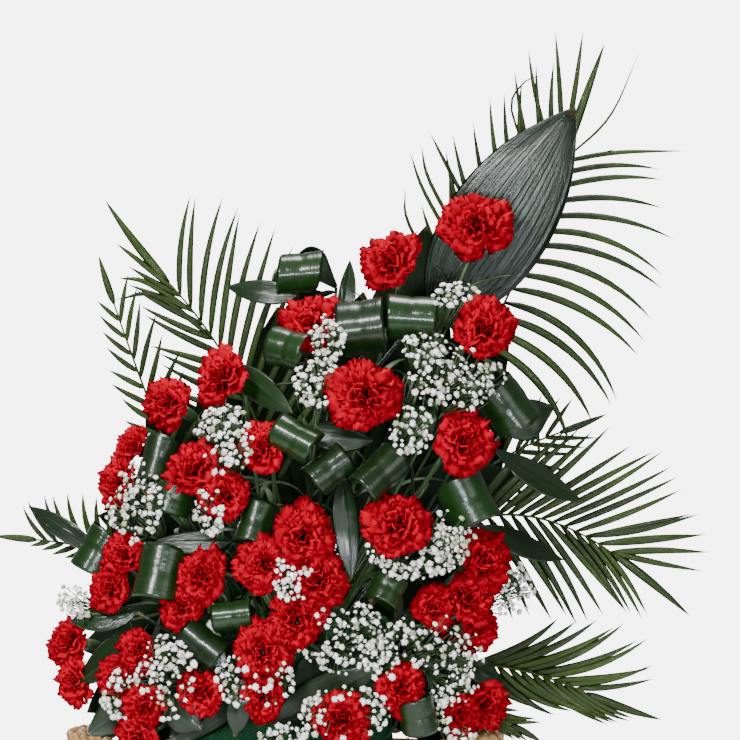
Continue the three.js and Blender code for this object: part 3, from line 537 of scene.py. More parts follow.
def smooth_run(stations, count):
    """Evenly spaced rows on the Catmull-Rom curve through the stations' rows of numbers."""
    ends = [2 * stations[:1] - stations[1:2], stations, 2 * stations[-1:] - stations[-2:-1]]
    rows = np.concatenate(ends)
    run = np.linspace(0, len(stations) - 1, count)
    step = np.minimum(run.astype(int), len(stations) - 2)
    f = (run - step)[:, None]
    a, b, c, d = rows[step], rows[step + 1], rows[step + 2], rows[step + 3]
    square, cube = 2 * a - 5 * b + 4 * c - d, 3 * (b - c) + d - a
    return 0.5 * (2 * b + (c - a) * f + square * f**2 + cube * f**3)


def bend(a, b, c, share):
    """The quadratic curve of numbers from a to c that bends towards b."""
    return a * (1 - share) ** 2 + b * 2 * share * (1 - share) + c * share**2


def bezier(a, b, c, share):
    """The quadratic curve of places from a to c that bends towards b."""
    return bend(a, b, c, np.asarray(share)[..., None])


# Materials: most read their piece's growth map, across and along, and most their tint
def new_material(name, roughness, specular=0.5):
    """A material with its shader's own steady values set."""
    material = bpy.data.materials.new(name)
    material.use_nodes = True
    shader = material.node_tree.nodes["Principled BSDF"]
    shader.inputs["Roughness"].default_value = roughness
    shader.inputs["Specular IOR Level"].default_value = specular
    return material, material.node_tree, shader


def add_node(tree, kind, values=(), **settings):
    """A node with its settings and input values."""
    made = tree.nodes.new(kind)
    for key, value in settings.items():
        setattr(made, key, value)
    for key, value in dict(values).items():
        made.inputs[key].default_value = value
    return made


def growth(tree, scale):
    """The piece's growth map, stretched: how often a pattern repeats across and along."""
    source = add_node(tree, "ShaderNodeUVMap", uv_map="growth")
    mapping = add_node(tree, "ShaderNodeMapping", {"Scale": (scale[0], scale[1], 1)})
    tree.links.new(source.outputs["UV"], mapping.inputs["Vector"])
    return mapping.outputs["Vector"]


def growth_axes(tree):
    """Across and along on the growth map, as two values."""
    axes = add_node(tree, "ShaderNodeSeparateXYZ")
    tree.links.new(growth(tree, (1, 1)), axes.inputs["Vector"])
    return axes.outputs["X"], axes.outputs["Y"]


def place(tree):
    """The place on the piece in metres."""
    return add_node(tree, "ShaderNodeTexCoord").outputs["Object"]


def noise(tree, vector, scale, detail=3.0, rough=0.6):
    """Cloudy grey, from 0 to 1."""
    values = {"Scale": scale, "Detail": detail, "Roughness": rough}
    made = add_node(tree, "ShaderNodeTexNoise", values)
    tree.links.new(vector, made.inputs["Vector"])
    return made.outputs["Fac"]


def sums(tree, kind, first, second):
    """Two values put together; either may be a number."""
    made = add_node(tree, "ShaderNodeMath", operation=kind)
    for socket, value in zip(made.inputs, (first, second)):
        if isinstance(value, (int, float)):
            socket.default_value = value
        else:
            tree.links.new(value, socket)
    return made.outputs["Value"]


def shaken(tree, value, cloud, swing):
    """A value that a cloud moves up and down by half the swing."""
    swung = sums(tree, "MULTIPLY", sums(tree, "SUBTRACT", cloud, 0.5), swing)
    return sums(tree, "ADD", value, swung)


def colours(tree, value, stops):
    """A run of colours: each stop is a place from 0 to 1 and a colour."""
    made = add_node(tree, "ShaderNodeValToRGB")
    ramp = made.color_ramp
    for _ in range(len(stops) - 2):
        ramp.elements.new(0.5)
    for element, (at, colour) in zip(ramp.elements, stops):
        element.position = at
        element.color = (*colour, 1)
    tree.links.new(value, made.inputs["Fac"])
    return made.outputs["Color"]


def blend(tree, share, first, second, kind="MIX"):
    """Two colours mixed by a share."""
    made = add_node(tree, "ShaderNodeMix", data_type="RGBA", blend_type=kind)
    sockets = (made.inputs["Factor"], made.inputs[6], made.inputs[7])
    for socket, value in zip(sockets, (share, first, second)):
        if isinstance(value, (int, float, tuple)):
            socket.default_value = value
        else:
            tree.links.new(value, socket)
    return made.outputs[2]


def tinted(tree, colour, stops):
    """A colour multiplied by the shade that each petal, leaf or rod has by its own tint."""
    tint = add_node(tree, "ShaderNodeAttribute", attribute_name="tint").outputs["Fac"]
    return blend(tree, 1.0, colour, colours(tree, tint, stops), "MULTIPLY")


def raised(tree, shader, height, strength, distance):
    """A fine relief."""
    made = add_node(tree, "ShaderNodeBump", {"Strength": strength, "Distance": distance})
    tree.links.new(height, made.inputs["Height"])
    tree.links.new(made.outputs["Normal"], shader.inputs["Normal"])
    tree.links.new(made.outputs["Normal"], shader.inputs["Coat Normal"])


def carnation_red():
    """Velvety petals: pure red at the ruffled edge, darkened to maroon towards the throat by painted shade,
    and finely veined.
    """
    material, tree, shader = new_material("carnation_red", 0.75, 0.02)
    cloud = noise(tree, place(tree), 260, 2.0)
    depth = shaken(tree, growth_axes(tree)[1], cloud, 0.35)
    # painted shade: each petal's red darkens from its ruffled edge to its root deep in the bloom
    red = colours(tree, depth, [
        (0.2, (0.06, 0, 0.003)), (0.5, (0.18, 0, 0.006)), (0.75, (0.36, 0, 0.011)), (1, (0.44, 0, 0.015)),
    ])
    red = tinted(tree, red, [(0, (0.62, 0.5, 0.55)), (1, (1, 1, 1))])
    tree.links.new(red, shader.inputs["Base Color"])
    raised(tree, shader, noise(tree, growth(tree, (26, 3)), 1.6, 2.0), 0.5, 0.0006)
    shader.inputs["Sheen Weight"].default_value = 0.05
    shader.inputs["Sheen Roughness"].default_value = 0.4
    shader.inputs["Sheen Tint"].default_value = (1.0, 0.0, 0.01, 1)
    return material


LEAF_LOOKS = {
    "aspidistra_dark": {
        "dark": (0.0008, 0.006, 0.0005), "light": (0.0035, 0.022, 0.001), "streak_and_sheen": (0.03, 0.08, 0.02),
        "streaks": 0.04, "veins": 26, "rough": 0.4, "specular": 0.2, "coat": 0.6, "relief": 0.0003,
        "pleats": 0, "satin": 0.13,
    },
    # leaves behind and between the flowers: darker copies of the leaf colours, painted shade for the inside
    # of the mass
    "aspidistra_painted_shade": {
        "dark": (0.001, 0.004, 0.001), "light": (0.003, 0.013, 0.002), "streak_and_sheen": (0.01, 0.025, 0.008),
        "streaks": 0.12, "veins": 30, "rough": 0.6, "specular": 0.08, "coat": 0.0, "relief": 0.001,
        "pleats": 0, "satin": 0.1,
    },
    # the crown leaf: its pale bluish streak colour is a painted sheen
    "aspidistra_crown_painted_sheen": {
        "dark": (0.0003, 0.005, 0.0004), "light": (0.0015, 0.014, 0.001), "streak_and_sheen": (0.03, 0.08, 0.06),
        "streaks": 0.08, "veins": 30, "rough": 0.5, "specular": 0.06, "coat": 0.9, "relief": 0.0012,
        "pleats": 17, "satin": 0.26,
    },
    "areca_leaflet": {
        "dark": (0.0025, 0.009, 0.0004), "light": (0.019, 0.043, 0.0015), "streak_and_sheen": (0.13, 0.16, 0.01),
        "streaks": 0.24, "veins": 5, "rough": 0.45, "specular": 0.18, "coat": 0.1, "relief": 0.0008,
        "pleats": 0, "satin": 0.1,
    },
}
DRY_TIP = (0.09, 0.06, 0.02, 1)


def leaf_green(name, look):
    """A leaf with a waxy coat: parallel veins along it, paler streaks between them and a dry tip. On the
    crown leaf the pale bluish streaks are a painted sheen.

    The look gives the dark, light and streak-and-sheen colours, how far the streaks and sheen show, how many
    veins and even pleats lie across the leaf, and its roughness, specular level, coat with its own
    roughness, and relief."""
    material, tree, shader = new_material(name, look["rough"], look["specular"])
    veins = look["veins"]
    ribbing = noise(tree, growth(tree, (veins, 0.8)), 1.0, 2.0, 0.5)
    fibres = noise(tree, growth(tree, (veins * 3.2, 2.4)), 1.0, 3.0, 0.6)
    cloud = noise(tree, place(tree), 16, 3.0)
    across, along = growth_axes(tree)
    light = (*look["light"], 1)
    green = blend(tree, cloud, (*look["dark"], 1), light)
    vein = colours(tree, ribbing, [(0.42, (0, 0, 0)), (0.62, (1, 1, 1))])
    green = blend(tree, sums(tree, "MULTIPLY", vein, 0.55), green, light)
    # paler streaks: the leaves' own streaks, and on the crown leaf a painted sheen
    streak_and_sheen_mask = colours(tree, fibres, [(0.5, (0, 0, 0)), (0.72, (1, 1, 1))])
    green = blend(tree, sums(tree, "MULTIPLY", streak_and_sheen_mask, look["streaks"]), green, (*look["streak_and_sheen"], 1))
    green = tinted(tree, green, [(0, (0.55, 0.6, 0.6)), (1, (1.25, 1.2, 1.1))])
    dry = colours(tree, along, [(0.945, (0, 0, 0)), (1, (0.8, 0.8, 0.8))])
    tree.links.new(blend(tree, dry, green, DRY_TIP), shader.inputs["Base Color"])
    gloss = sums(tree, "ADD", look["rough"] - 0.08, sums(tree, "MULTIPLY", fibres, 0.2))
    tree.links.new(gloss, shader.inputs["Roughness"])
    relief = sums(tree, "ADD", ribbing, sums(tree, "MULTIPLY", fibres, 0.6))
    if look["pleats"]:
        turns = sums(tree, "MULTIPLY", across, TURN * look["pleats"])
        wave = sums(tree, "SINE", turns, 0)
        relief = sums(tree, "ADD", relief, sums(tree, "MULTIPLY", wave, 0.4))
    raised(tree, shader, relief, 1.0, look["relief"])
    shader.inputs["Coat Weight"].default_value = look["coat"]
    shader.inputs["Coat Roughness"].default_value = look["satin"]
    return material


def stem_green():
    """Grey-green stems with a chalky bloom and long fibres."""
    material, tree, shader = new_material("stem_green", 0.5)
    fibres = noise(tree, growth(tree, (7, 30)), 1.0, 3.0)
    cloud = noise(tree, place(tree), 60, 3.0)
    green = blend(tree, cloud, (0.006, 0.024, 0.003, 1), (0.024, 0.06, 0.011, 1))
    green = blend(tree, sums(tree, "MULTIPLY", fibres, 0.35), green, (0.06, 0.1, 0.035, 1))
    tree.links.new(green, shader.inputs["Base Color"])
    raised(tree, shader, fibres, 0.4, 0.0004)
    return material


def floret_white():
    """White double florets, cream in their hearts, with a few that are still green buds."""
    material, tree, shader = new_material("floret_white", 0.7, 0.3)
    cloud = noise(tree, place(tree), 900, 2.0)
    depth = shaken(tree, growth_axes(tree)[1], cloud, 0.3)
    white = colours(tree, depth, [
        (0, (0.3, 0.4, 0.14)), (0.25, (0.78, 0.8, 0.68)), (0.5, (0.96, 0.96, 0.95)), (1, (0.86, 0.85, 0.78)),
    ])
    white = tinted(tree, white, [
        (0, (0.3, 0.34, 0.2)), (0.14, (0.6, 0.58, 0.48)), (0.3, (0.85, 0.8, 0.82)), (1, (1, 1, 1)),
    ])
    tree.links.new(white, shader.inputs["Base Color"])
    raised(tree, shader, cloud, 0.6, 0.0006)
    return material


def peeled_willow():
    """Satin willow rods: streaks along each, some rods browner, darker knots."""
    material, tree, shader = new_material("peeled_willow", 0.5)
    streaks = noise(tree, growth(tree, (5, 40)), 1.0, 4.0)
    cloud = noise(tree, place(tree), 45, 3.0)
    tan = colours(tree, streaks, [
        (0.25, (0.2, 0.095, 0.035)), (0.5, (0.44, 0.25, 0.105)), (0.8, (0.62, 0.4, 0.19)),
    ])
    tan = blend(tree, sums(tree, "MULTIPLY", cloud, 0.5), tan, (0.3, 0.15, 0.06, 1))
    tan = tinted(tree, tan, [(0, (0.66, 0.6, 0.56)), (1, (1.1, 1.08, 1.0))])
    tree.links.new(tan, shader.inputs["Base Color"])
    raised(tree, shader, streaks, 0.5, 0.0008)
    return material


def open_foam():
    """Dull green floral foam: fine open pores darkened by painted shade, and crumbled dust."""
    material, tree, shader = new_material("open_foam", 0.95, 0.1)
    pores = add_node(tree, "ShaderNodeTexVoronoi", {"Scale": 700.0})
    tree.links.new(place(tree), pores.inputs["Vector"])
    cloud = noise(tree, place(tree), 30, 4.0)
    green = blend(tree, cloud, (0.008, 0.05, 0.02, 1), (0.03, 0.13, 0.055, 1))
    # painted shade: the green darkens towards the middle of each pore
    pale = colours(tree, pores.outputs["Distance"], [(0.1, (0.25, 0.3, 0.25)), (0.5, (1, 1, 1))])
    tree.links.new(blend(tree, 1.0, green, pale, "MULTIPLY"), shader.inputs["Base Color"])
    raised(tree, shader, pores.outputs["Distance"], 0.8, 0.001)
    return material


def liner_black():
    """Thin black plastic, scuffed and slightly dusty."""
    material, tree, shader = new_material("liner_black", 0.45)
    dust = noise(tree, place(tree), 35, 5.0, 0.7)
    black = colours(tree, dust, [(0.35, (0.012, 0.012, 0.012)), (0.8, (0.06, 0.058, 0.052))])
    tree.links.new(black, shader.inputs["Base Color"])
    gloss = sums(tree, "ADD", 0.32, sums(tree, "MULTIPLY", dust, 0.3))
    tree.links.new(gloss, shader.inputs["Roughness"])
    raised(tree, shader, noise(tree, place(tree), 420, 2.0), 0.2, 0.0003)
    return material


RED = carnation_red()
DARK_LEAF, SHADE_LEAF, CROWN_GREEN, PALM_GREEN = [
    leaf_green(name, look) for name, look in LEAF_LOOKS.items()
]
STEM = stem_green()
WHITE = floret_white()
WILLOW = peeled_willow()
FOAM = open_foam()
BLACK = liner_black()


# Where every carnation sits and which way it faces
TOUCH_ASIDE, TOUCH_DEEP = 0.8, 0.34  # gaps at which blooms touch, as shares of their width


def press_together(flowers):
    """Draws each flower of a bunch to the nearest before it, until the two touch.

    The gap is measured across their faces and along their stems, each in the gap at which
    they touch, and the way between them is divided by it where it is more than one."""
    for i, flower in enumerate(flowers[1:], 1):
        nearest = min(flowers[:i], key=lambda near: np.linalg.norm(near["at"] - flower["at"]))
        wide = (flower["wide"] + nearest["wide"]) / 2
        facing = unit(flower["out"] + nearest["out"])
        way = flower["at"] - nearest["at"]
        high = way @ facing
        aside = math.sqrt(way @ way - high**2)
        spread = math.hypot(aside / (TOUCH_ASIDE * wide), high / (TOUCH_DEEP * wide))
        flower["at"] = nearest["at"] + way / max(1, spread)
    return flowers


def carnation_places():
    """Every carnation's middle, outward direction and width, by bunch."""
    bunches = {}
    for name, rows in CARNATIONS.items():
        flowers = []
        for x, up, wide, back in rows:
            at = np.array([x, mass_front(x, up) + back, up])
            flowers.append({"at": at, "out": mass_outward(at), "wide": wide})
        bunches[name] = press_together(flowers)
    for name, rows in SIDE_CARNATIONS.items():
        flowers = []
        for x, y, up, wide in rows:
            out = unit(np.array([x - mass_middle(up), y * 0.9, 30.0]))
            flowers.append({"at": np.array([x, y, up], float), "out": out, "wide": wide})
        bunches[name] = flowers
    return bunches


# Carnation heads
PETAL_ROWS = 6
PETAL_COLUMNS = 15
PETAL_THICK = 0.45
# Rings of petals from the outside in: number, reach and height of the tip, half width,
# ruffle and twist in radians; all lengths are shares of the bloom's width
PETAL_RINGS = [
    (6, 0.51, -0.08, 0.27, 0.05, 0.12),
    (7, 0.48, 0.02, 0.25, 0.06, 0.2),
    (7, 0.41, 0.11, 0.22, 0.07, 0.35),
    (6, 0.31, 0.18, 0.19, 0.075, 0.5),
    (5, 0.2, 0.22, 0.16, 0.07, 0.7),
    (4, 0.09, 0.23, 0.13, 0.06, 0.9),
]
THROAT, CLAW = 0.03, -0.27  # reach and height of the petals' roots
TOOTH = 0.022  # how far the teeth of a petal's edge stand out
PHASES = (0, 6.28)  # the waves of an edge start anywhere in a whole turn


def petal_ring(ring, rng):
    """Middle surfaces of one ring of petals round an upright axis, as shares of the width.

    Along, a petal follows a quadratic curve from the calyx up and outwards to its tip. Across,
    it widens as a power of the run and is shifted along its normal by two sine waves that grow
    towards the edge, where every other point stands out as a tooth."""
    count, reach, high, half, ruffle, twist = ring
    shape = (count, 1, 1)
    across = np.linspace(-1, 1, PETAL_COLUMNS)[None, None]
    run = np.linspace(0, 1, PETAL_ROWS)[None, :, None]
    turn = TURN * (np.arange(count) / count + rng.uniform()) + rng.uniform(-0.16, 0.16, count)
    turn = turn[:, None, None]
    grow = rng.uniform(0.84, 1.13, shape)
    share = run * (1 - 0.24 * across**2 * run)
    teeth = np.where(np.arange(PETAL_COLUMNS) % 2, TOOTH, -TOOTH)
    share = share + np.where(run == 1, teeth[None, None] * rng.uniform(0.5, 1.5, shape), 0)
    tip_r, tip_h = reach * grow, high * grow + rng.uniform(-0.02, 0.03, shape)
    bend_r, bend_h = 0.3 * reach + 0.03, 0.5 * high + 0.05
    r, h = bend(THROAT, bend_r, tip_r, share), bend(CLAW, bend_h, tip_h, share)
    slope_r = 2 * mix(bend_r - THROAT, tip_r - bend_r, share)
    slope_h = 2 * mix(bend_h - CLAW, tip_h - bend_h, share)
    size = np.hypot(slope_r, slope_h)
    normal_r, normal_h = -slope_h / size, slope_r / size
    aside = across * half * (0.16 + 0.84 * run**1.3)
    waves = rng.uniform(1.3, 2.3, shape)
    wave = np.sin(np.pi * waves * across + rng.uniform(*PHASES, shape))
    small = np.sin(np.pi * 2.2 * waves * across + rng.uniform(*PHASES, shape))
    lift = ruffle * run**1.6 * (wave + 0.35 * small)
    lean = twist * rng.uniform(-1, 1, shape) * run
    flat, tall = aside * np.cos(lean), aside * np.sin(lean) + lift
    out = r + normal_r * tall
    x = np.cos(turn) * out - np.sin(turn) * flat
    y = np.sin(turn) * out + np.cos(turn) * flat
    return np.stack([x, y, h + normal_h * tall], axis=-1)


def add_bloom(surfaces, flower, rng):
    """All rings of one bloom, turned so that its axis points outwards, or nearly so.

    Round the bloom its reach swells and shrinks by two waves, so that no head is quite round."""
    out = unit(flower["out"] + rng.normal(0, 0.1, 3))
    level = unit(np.cross(UP, out))
    phases = rng.uniform(0, TURN, 2)
    for ring in PETAL_RINGS:
        middle = petal_ring(ring, rng) * flower["wide"]
        turn = np.arctan2(middle[..., 1], middle[..., 0])
        swell = 1 + 0.06 * np.sin(2 * turn + phases[0]) + 0.045 * np.sin(3 * turn + phases[1])
        middle[..., :2] *= swell[..., None]
        middle = flower["at"] + middle @ np.stack([level, np.cross(out, level), out])
        add_blade_pairs(surfaces, middle, PETAL_THICK, rng.uniform(0, 1, (len(middle), 1)))


# Carnation stems with their calyces
CALYX_LONG = 22
CALYX_SIDES = 15
# From the open end to the stem: share of the length, radius, and depth of the five ribs
CALYX_RUN = np.array([0.14, -0.06, 0.12, 0.35, 0.62, 0.85, 1.0])
CALYX_RADII = np.array([1.0, 7.4, 6.4, 6.1, 5.6, 4.0, 2.6])
CALYX_RIBS = 0.06 * np.array([0, 1.6, 1, 0.8, 0.6, 0.3, 0])
JOINT_GAP = 55  # distance between the swollen joints of a stem
STEM_LEAF_JOINTS = 3  # how many joints below the calyx still carry their leaves
STEM_LEAF_ROWS = 9
STEM_ROWS = 22
FORK = 0.72  # where the stems of a bunch part, as a share of the way from the heart
NECK = 16  # and how far below their calyces that way ends


def calyx_top(flower):
    """Where the calyx opens, behind the bloom."""
    return flower["at"] - flower["out"] * (0.3 * flower["wide"] + 2 * CLEAR)


def add_calyx(surfaces, flower):
    """A ribbed tube that widens from the stem, with five teeth round its open end."""
    path = calyx_top(flower) - flower["out"] * (CALYX_RUN * CALYX_LONG)[:, None]
    ripple = 1 + np.cos(5 * evenly(CALYX_SIDES))[None, None] * CALYX_RIBS[None, :, None]
    add_rods(surfaces, path[None], CALYX_RADII, CALYX_SIDES, 0.6, ripple)


def add_stem_leaves(surfaces, path, far, rng):
    """A pair of narrow leaves at each upper joint: they leave the stem on opposite sides and
    curl over steadily towards their tips."""
    joints = JOINT_GAP * (0.24 + np.arange(1, 1 + STEM_LEAF_JOINTS))
    joints = np.repeat(joints[joints < far[0] - STEM_END], 2)
    count = len(joints)
    if not count:
        return
    root = [np.interp(joints, far[::-1], path[::-1, axis]) for axis in range(3)]
    way = unit(path[-1] - path[0])
    level = unit(np.cross(way, UP + 0.1))
    turn = rng.uniform(0, np.pi, count // 2).repeat(2) + np.tile([0, np.pi], count // 2)
    side = np.cos(turn)[:, None] * level + np.sin(turn)[:, None] * np.cross(way, level)
    run = np.linspace(0, 1, STEM_LEAF_ROWS)
    curl = rng.uniform(18, 32, (count, 1)) + rng.uniform(30, 110, (count, 1)) * run
    curl = np.radians(curl)[..., None]
    step = rng.uniform(45, 80, (count, 1, 1)) / (STEM_LEAF_ROWS - 1)
    steps = step * (np.cos(curl) * way + np.sin(curl) * side[:, None])
    steps[:, 0] = 0
    leaf = np.stack(root, axis=-1)[:, None] + np.cumsum(steps, axis=1)
    width = np.broadcast_to(3.4 * np.sin(np.pi * run**0.6) ** 0.8 + 0.4, leaf.shape[:2])
    across = np.broadcast_to(np.cross(way, side)[:, None], leaf.shape)
    add_folded(surfaces, leaf, across, width, 0.5, 5, 0.5, rng.uniform(0, 0.6, (count, 1)))


def bunch_stems(surfaces, flowers, rng):
    """A stem for each flower: from the heart past the bunch's fork to the calyx, with a
    swollen joint at every gap and leaves at the upper joints."""
    feet = [calyx_top(flower) - flower["out"] * CALYX_LONG for flower in flowers]
    necks = [foot - flower["out"] * NECK for foot, flower in zip(feet, flowers)]
    fork = mix(HEART, np.mean(necks, axis=0), FORK)
    for i, (foot, flower) in enumerate(zip(feet, flowers)):
        ends = [HEART, mix(HEART, foot, 0.6), foot]
        if len(flowers) > 1:
            aside = 4 * np.array([math.cos(2.4 * i), 0.4, math.sin(2.4 * i)])
            ends = [HEART + aside, fork + aside, foot]
        path = smooth_run(np.array(ends), STEM_ROWS)
        far = np.linalg.norm(path - path[-1], axis=1)
        knot = np.exp(-((((far + JOINT_GAP * 0.26) % JOINT_GAP) - JOINT_GAP / 2) / 2.5) ** 2)
        add_rods(surfaces, path[None], STEM_ROD * (1 + 0.45 * knot), 8)
        add_stem_leaves(surfaces, path, far, rng)
        add_calyx(surfaces, flower)


# Aspidistra leaves
LEAF_ROWS = 40
LEAF_COLUMNS = 15
LEAF_THICK = 0.8
CREASE_DEEP = 1.1
CREASE_WIDE = 0.12  # as a share of the half width
STALK_ROWS = 14


def leaf_surface(stations, side, face, rng, cup, wave):
    """A leaf's middle surface: each row is set across the run at its station's width, along
    the side given or square to the way that the leaf faces.

    Along, places and widths follow a smooth curve through the stations. Across, the blade is
    cupped by the square of the distance from its midrib, with a crease at the midrib and slow
    waves at its edges."""
    rows = smooth_run(stations, LEAF_ROWS)
    path, wide = rows[:, :3], np.maximum(rows[:, 3], 0.6)
    way = unit(np.gradient(path, axis=0))
    across = np.cross(way, face) if side is None else side - way * (way @ side)[:, None]
    across = unit(across)
    up = np.cross(way, across)
    off = np.linspace(-1, 1, LEAF_COLUMNS)[None, :, None]
    half = wide[:, None, None] / 2
    run = np.linspace(0, 1, LEAF_ROWS)[:, None, None]
    ripple = wave * off**2 * np.sin(rng.uniform(5, 9) * run + rng.uniform(*PHASES) + 1.6 * off)
    crease = CREASE_DEEP * np.exp(-((off / CREASE_WIDE) ** 2)) * np.minimum(1, half / 14)
    lift = cup * half * off**2 + ripple * np.minimum(1, half / 20) - crease
    return path[:, None] + across[:, None] * half * off + up[:, None] * lift


def add_leaf(surfaces, stations, side, face, rng, cup, wave):
    """One leaf, with its own tint."""
    middle = leaf_surface(np.array(stations, float), side, face, rng, cup, wave)
    add_blade_pairs(surfaces, middle[None], LEAF_THICK, rng.uniform(0, 1))


def loop_place(spec):
    """A loop's middle, outward direction, fold line, climb and half size."""
    x, up, tilt, wide, across, back = spec
    middle = np.array([x, mass_front(x, up) + back, up])
    out = mass_outward(middle)
    angle = math.radians(tilt)
    fold = np.array([math.cos(angle), 0.0, math.sin(angle)])
    fold = unit(fold - out * (fold @ out))
    return middle, out, fold, np.cross(fold, out), wide, across / 2


LOOP_TURN = np.radians([-140, -115, -90, -60, -30, 0, 30, 60, 90, 115, 140])
LOOP_WIDTHS = np.array([0.7, 0.86, 0.95, 1, 1, 1, 1, 0.97, 0.9, 0.8, 0.65])


def add_loop(surfaces, spec, rng):
    """A looped leaf: the blade comes from behind, turns over the front on an arc, and its
    tip is drawn back to its own stalk."""
    middle, out, fold, climb, wide, half = loop_place(spec)
    arc = middle + half * (np.cos(LOOP_TURN)[:, None] * out + np.sin(LOOP_TURN)[:, None] * climb)
    entry = middle - out * 1.7 * half - climb * 0.2 * half
    start = [[*entry, 6.0], [*mix(entry, arc[0], 0.5), wide * 0.4]]
    turning = [[*at, wide * share] for at, share in zip(arc, LOOP_WIDTHS)]
    tail = entry + climb * 0.25 * half
    end = [[*mix(arc[-1], tail, 0.5), wide * 0.42], [*tail, 2.0]]
    add_leaf(surfaces, start + turning + end, fold, None, rng, 0.04, 0.5)
    return entry


ROLL_TURN = np.radians([235, 200, 160, 120, 80, 40, 0, -40, -80])
ROLL_WIDTHS = np.array([0.3, 0.7, 0.92, 1, 1, 1, 1, 0.96, 0.86])


def add_roll(surfaces, spec, rng):
    """A blade rolled over a level line towards the front: three quarters of a circle."""
    x, back, up, half, wide = spec
    stations = np.column_stack([
        x + 3 * np.sin(ROLL_TURN),
        back - half * np.cos(ROLL_TURN),
        up + half * np.sin(ROLL_TURN),
        wide * ROLL_WIDTHS,
    ])
    add_leaf(surfaces, stations, np.array([1.0, 0, 0.1]), None, rng, 0.04, 0.5)
    return stations[0, :3]


FLAT_RUN = np.array([0, 0.06, 0.15, 0.28, 0.42, 0.58, 0.75, 0.9, 1])
FLAT_WIDTHS = np.array([0, 0.22, 0.58, 0.88, 1, 0.96, 0.74, 0.36, 0.02])
LEAF_FOOT = 6  # width where a flat leaf grows from its stalk


def flat_leaf(surfaces, base, tip, wide, bow, face, rng, cup=0.1, wave=1.2):
    """A flat leaf from base to tip: widest near the middle, and bowed forward there as half a
    sine wave."""
    widths = FLAT_WIDTHS * wide
    widths[0] = LEAF_FOOT
    path = mix(base, tip, FLAT_RUN[:, None])
    path[:, 1] -= bow * np.sin(np.pi * FLAT_RUN)
    add_leaf(surfaces, np.column_stack([path, widths]), None, face, rng, cup, wave)


def stalk(surfaces, *points, half=2.2):
    """A leaf stalk through the given points, a little thinner at its leaf."""
    path = smooth_run(np.array(points, float), STALK_ROWS)
    add_rods(surfaces, path[None], np.linspace(half, 1.9, STALK_ROWS), 8, 0.4)


def leaf_bunch(name, rng):
    """The loops and flat leaves of one bunch, with their stalks from the foam."""
    leaves = Surfaces()
    stalks = [add_loop(leaves, spec, rng) for spec in LOOPS[name]]
    for base_x, base_up, tip_x, tip_up, wide, base_y, tip_y in FLAT_LEAVES[name]:
        base, tip = np.array([base_x, base_y, base_up], float), np.array([tip_x, tip_y, tip_up], float)
        flat_leaf(leaves, base, tip, wide, 6, mass_outward(mix(base, tip, 0.5)), rng)
        stalks.append(base)
    middle = np.mean(stalks, axis=0)
    stalks += [add_roll(leaves, spec, rng) for spec in ROLLS.get(name, [])]
    for end in stalks:
        stalk(leaves, from_heart(middle), mix(HEART, middle, 0.66), end)
    leaves.piece("leaves_" + name, DARK_LEAF, "aspidistra_leaf", "aspidistra_leaves_" + name)


def back_leaves(rng):
    """Broad leaves behind the flowers, all from one hub, that close the back, and small ones
    that show between the flowers, all in the darker leaf colours of painted shade."""
    leaves = Surfaces()
    start = HEART + np.array([8.0, STEM_END - 4, 14])
    for x, up, back, wide in BACK_LEAVES:
        tip = np.array([x, back, up], float)
        base = mix(BACK_HUB, tip, 0.25) + [0, 6, 0]
        flat_leaf(leaves, base, tip, wide, -16, -FRONT, rng, 0.12, 2.5)
        stalk(leaves, start, BACK_HUB, base, half=2.8)
    for base, tip, wide in DEEP_LEAVES:
        base, tip = np.array([base, tip], float)
        flat_leaf(leaves, base, tip, wide, 4, FRONT, rng, 0.1, 1.5)
        stalk(leaves, from_heart(base), mix(HEART, base, 0.8), base)
    leaves.piece("leaves_behind", SHADE_LEAF, "aspidistra_leaf", "aspidistra_leaves_back")


def low_leaves(rng):
    """A few leaves laid over the foam under the lowest flowers."""
    leaves = Surfaces()
    for base, tip, wide, face in LOW_LEAVES:
        base, tip, face = np.array([base, tip, face], float)
        flat_leaf(leaves, base, tip, wide, 0, face, rng, 0.14, 2.0)
        stalk(leaves, from_heart(base), mix(HEART, base, 0.9), base)
    leaves.piece("leaves_low", DARK_LEAF, "aspidistra_leaf", "aspidistra_leaves_back")


def crown_leaf(rng):
    """The large leaf behind the top carnations."""
    leaves = Surfaces()
    base, tip = np.array(CROWN_LEAF["base"]), np.array(CROWN_LEAF["tip"])
    flat_leaf(leaves, base, tip, CROWN_LEAF["wide"], 8, FRONT, rng, 0.06, 2.0)
    start = from_heart(base)
    stalk(leaves, start, mix(start, base, 0.5), base, half=2.6)
    leaves.piece("leaf_crown", CROWN_GREEN, "aspidistra_leaf", "aspidistra_crown_leaf")


# Palm fronds
RIB_STATIONS = 41
RIB_END = 0.999  # where the end leaflet leaves the rib, as a share of it
LEAFLET_ROWS = 12
LEAFLET_COLUMNS = 5
LEAFLET_THICK = 0.5
LEAFLET_HALF = 5.0  # half width of the leaflets on a side where the longest pass LONG_LEAFLET
LONG_LEAFLET = 90
SHORT_SLIM = 0.8  # the half width of the others, as a share of that
LEAFLET_FOLD = 0.42  # as a share of the half width
EVEN = 0.7  # how far the leaflets keep to one direction along a curved rib
END_LEAFLET = 0.72  # the leaflet at the rib's end, as a share of the longest
LIFT, DROOP = 0.12, 0.0011  # leaflets come forward beside the rib, and droop further out


def leaflet_share(share):
    """Length of the leaflets along the rib: a sine wave, longest over a third of the way up."""
    return 0.62 + 0.38 * np.sin(np.pi * (0.2 + 0.8 * share))


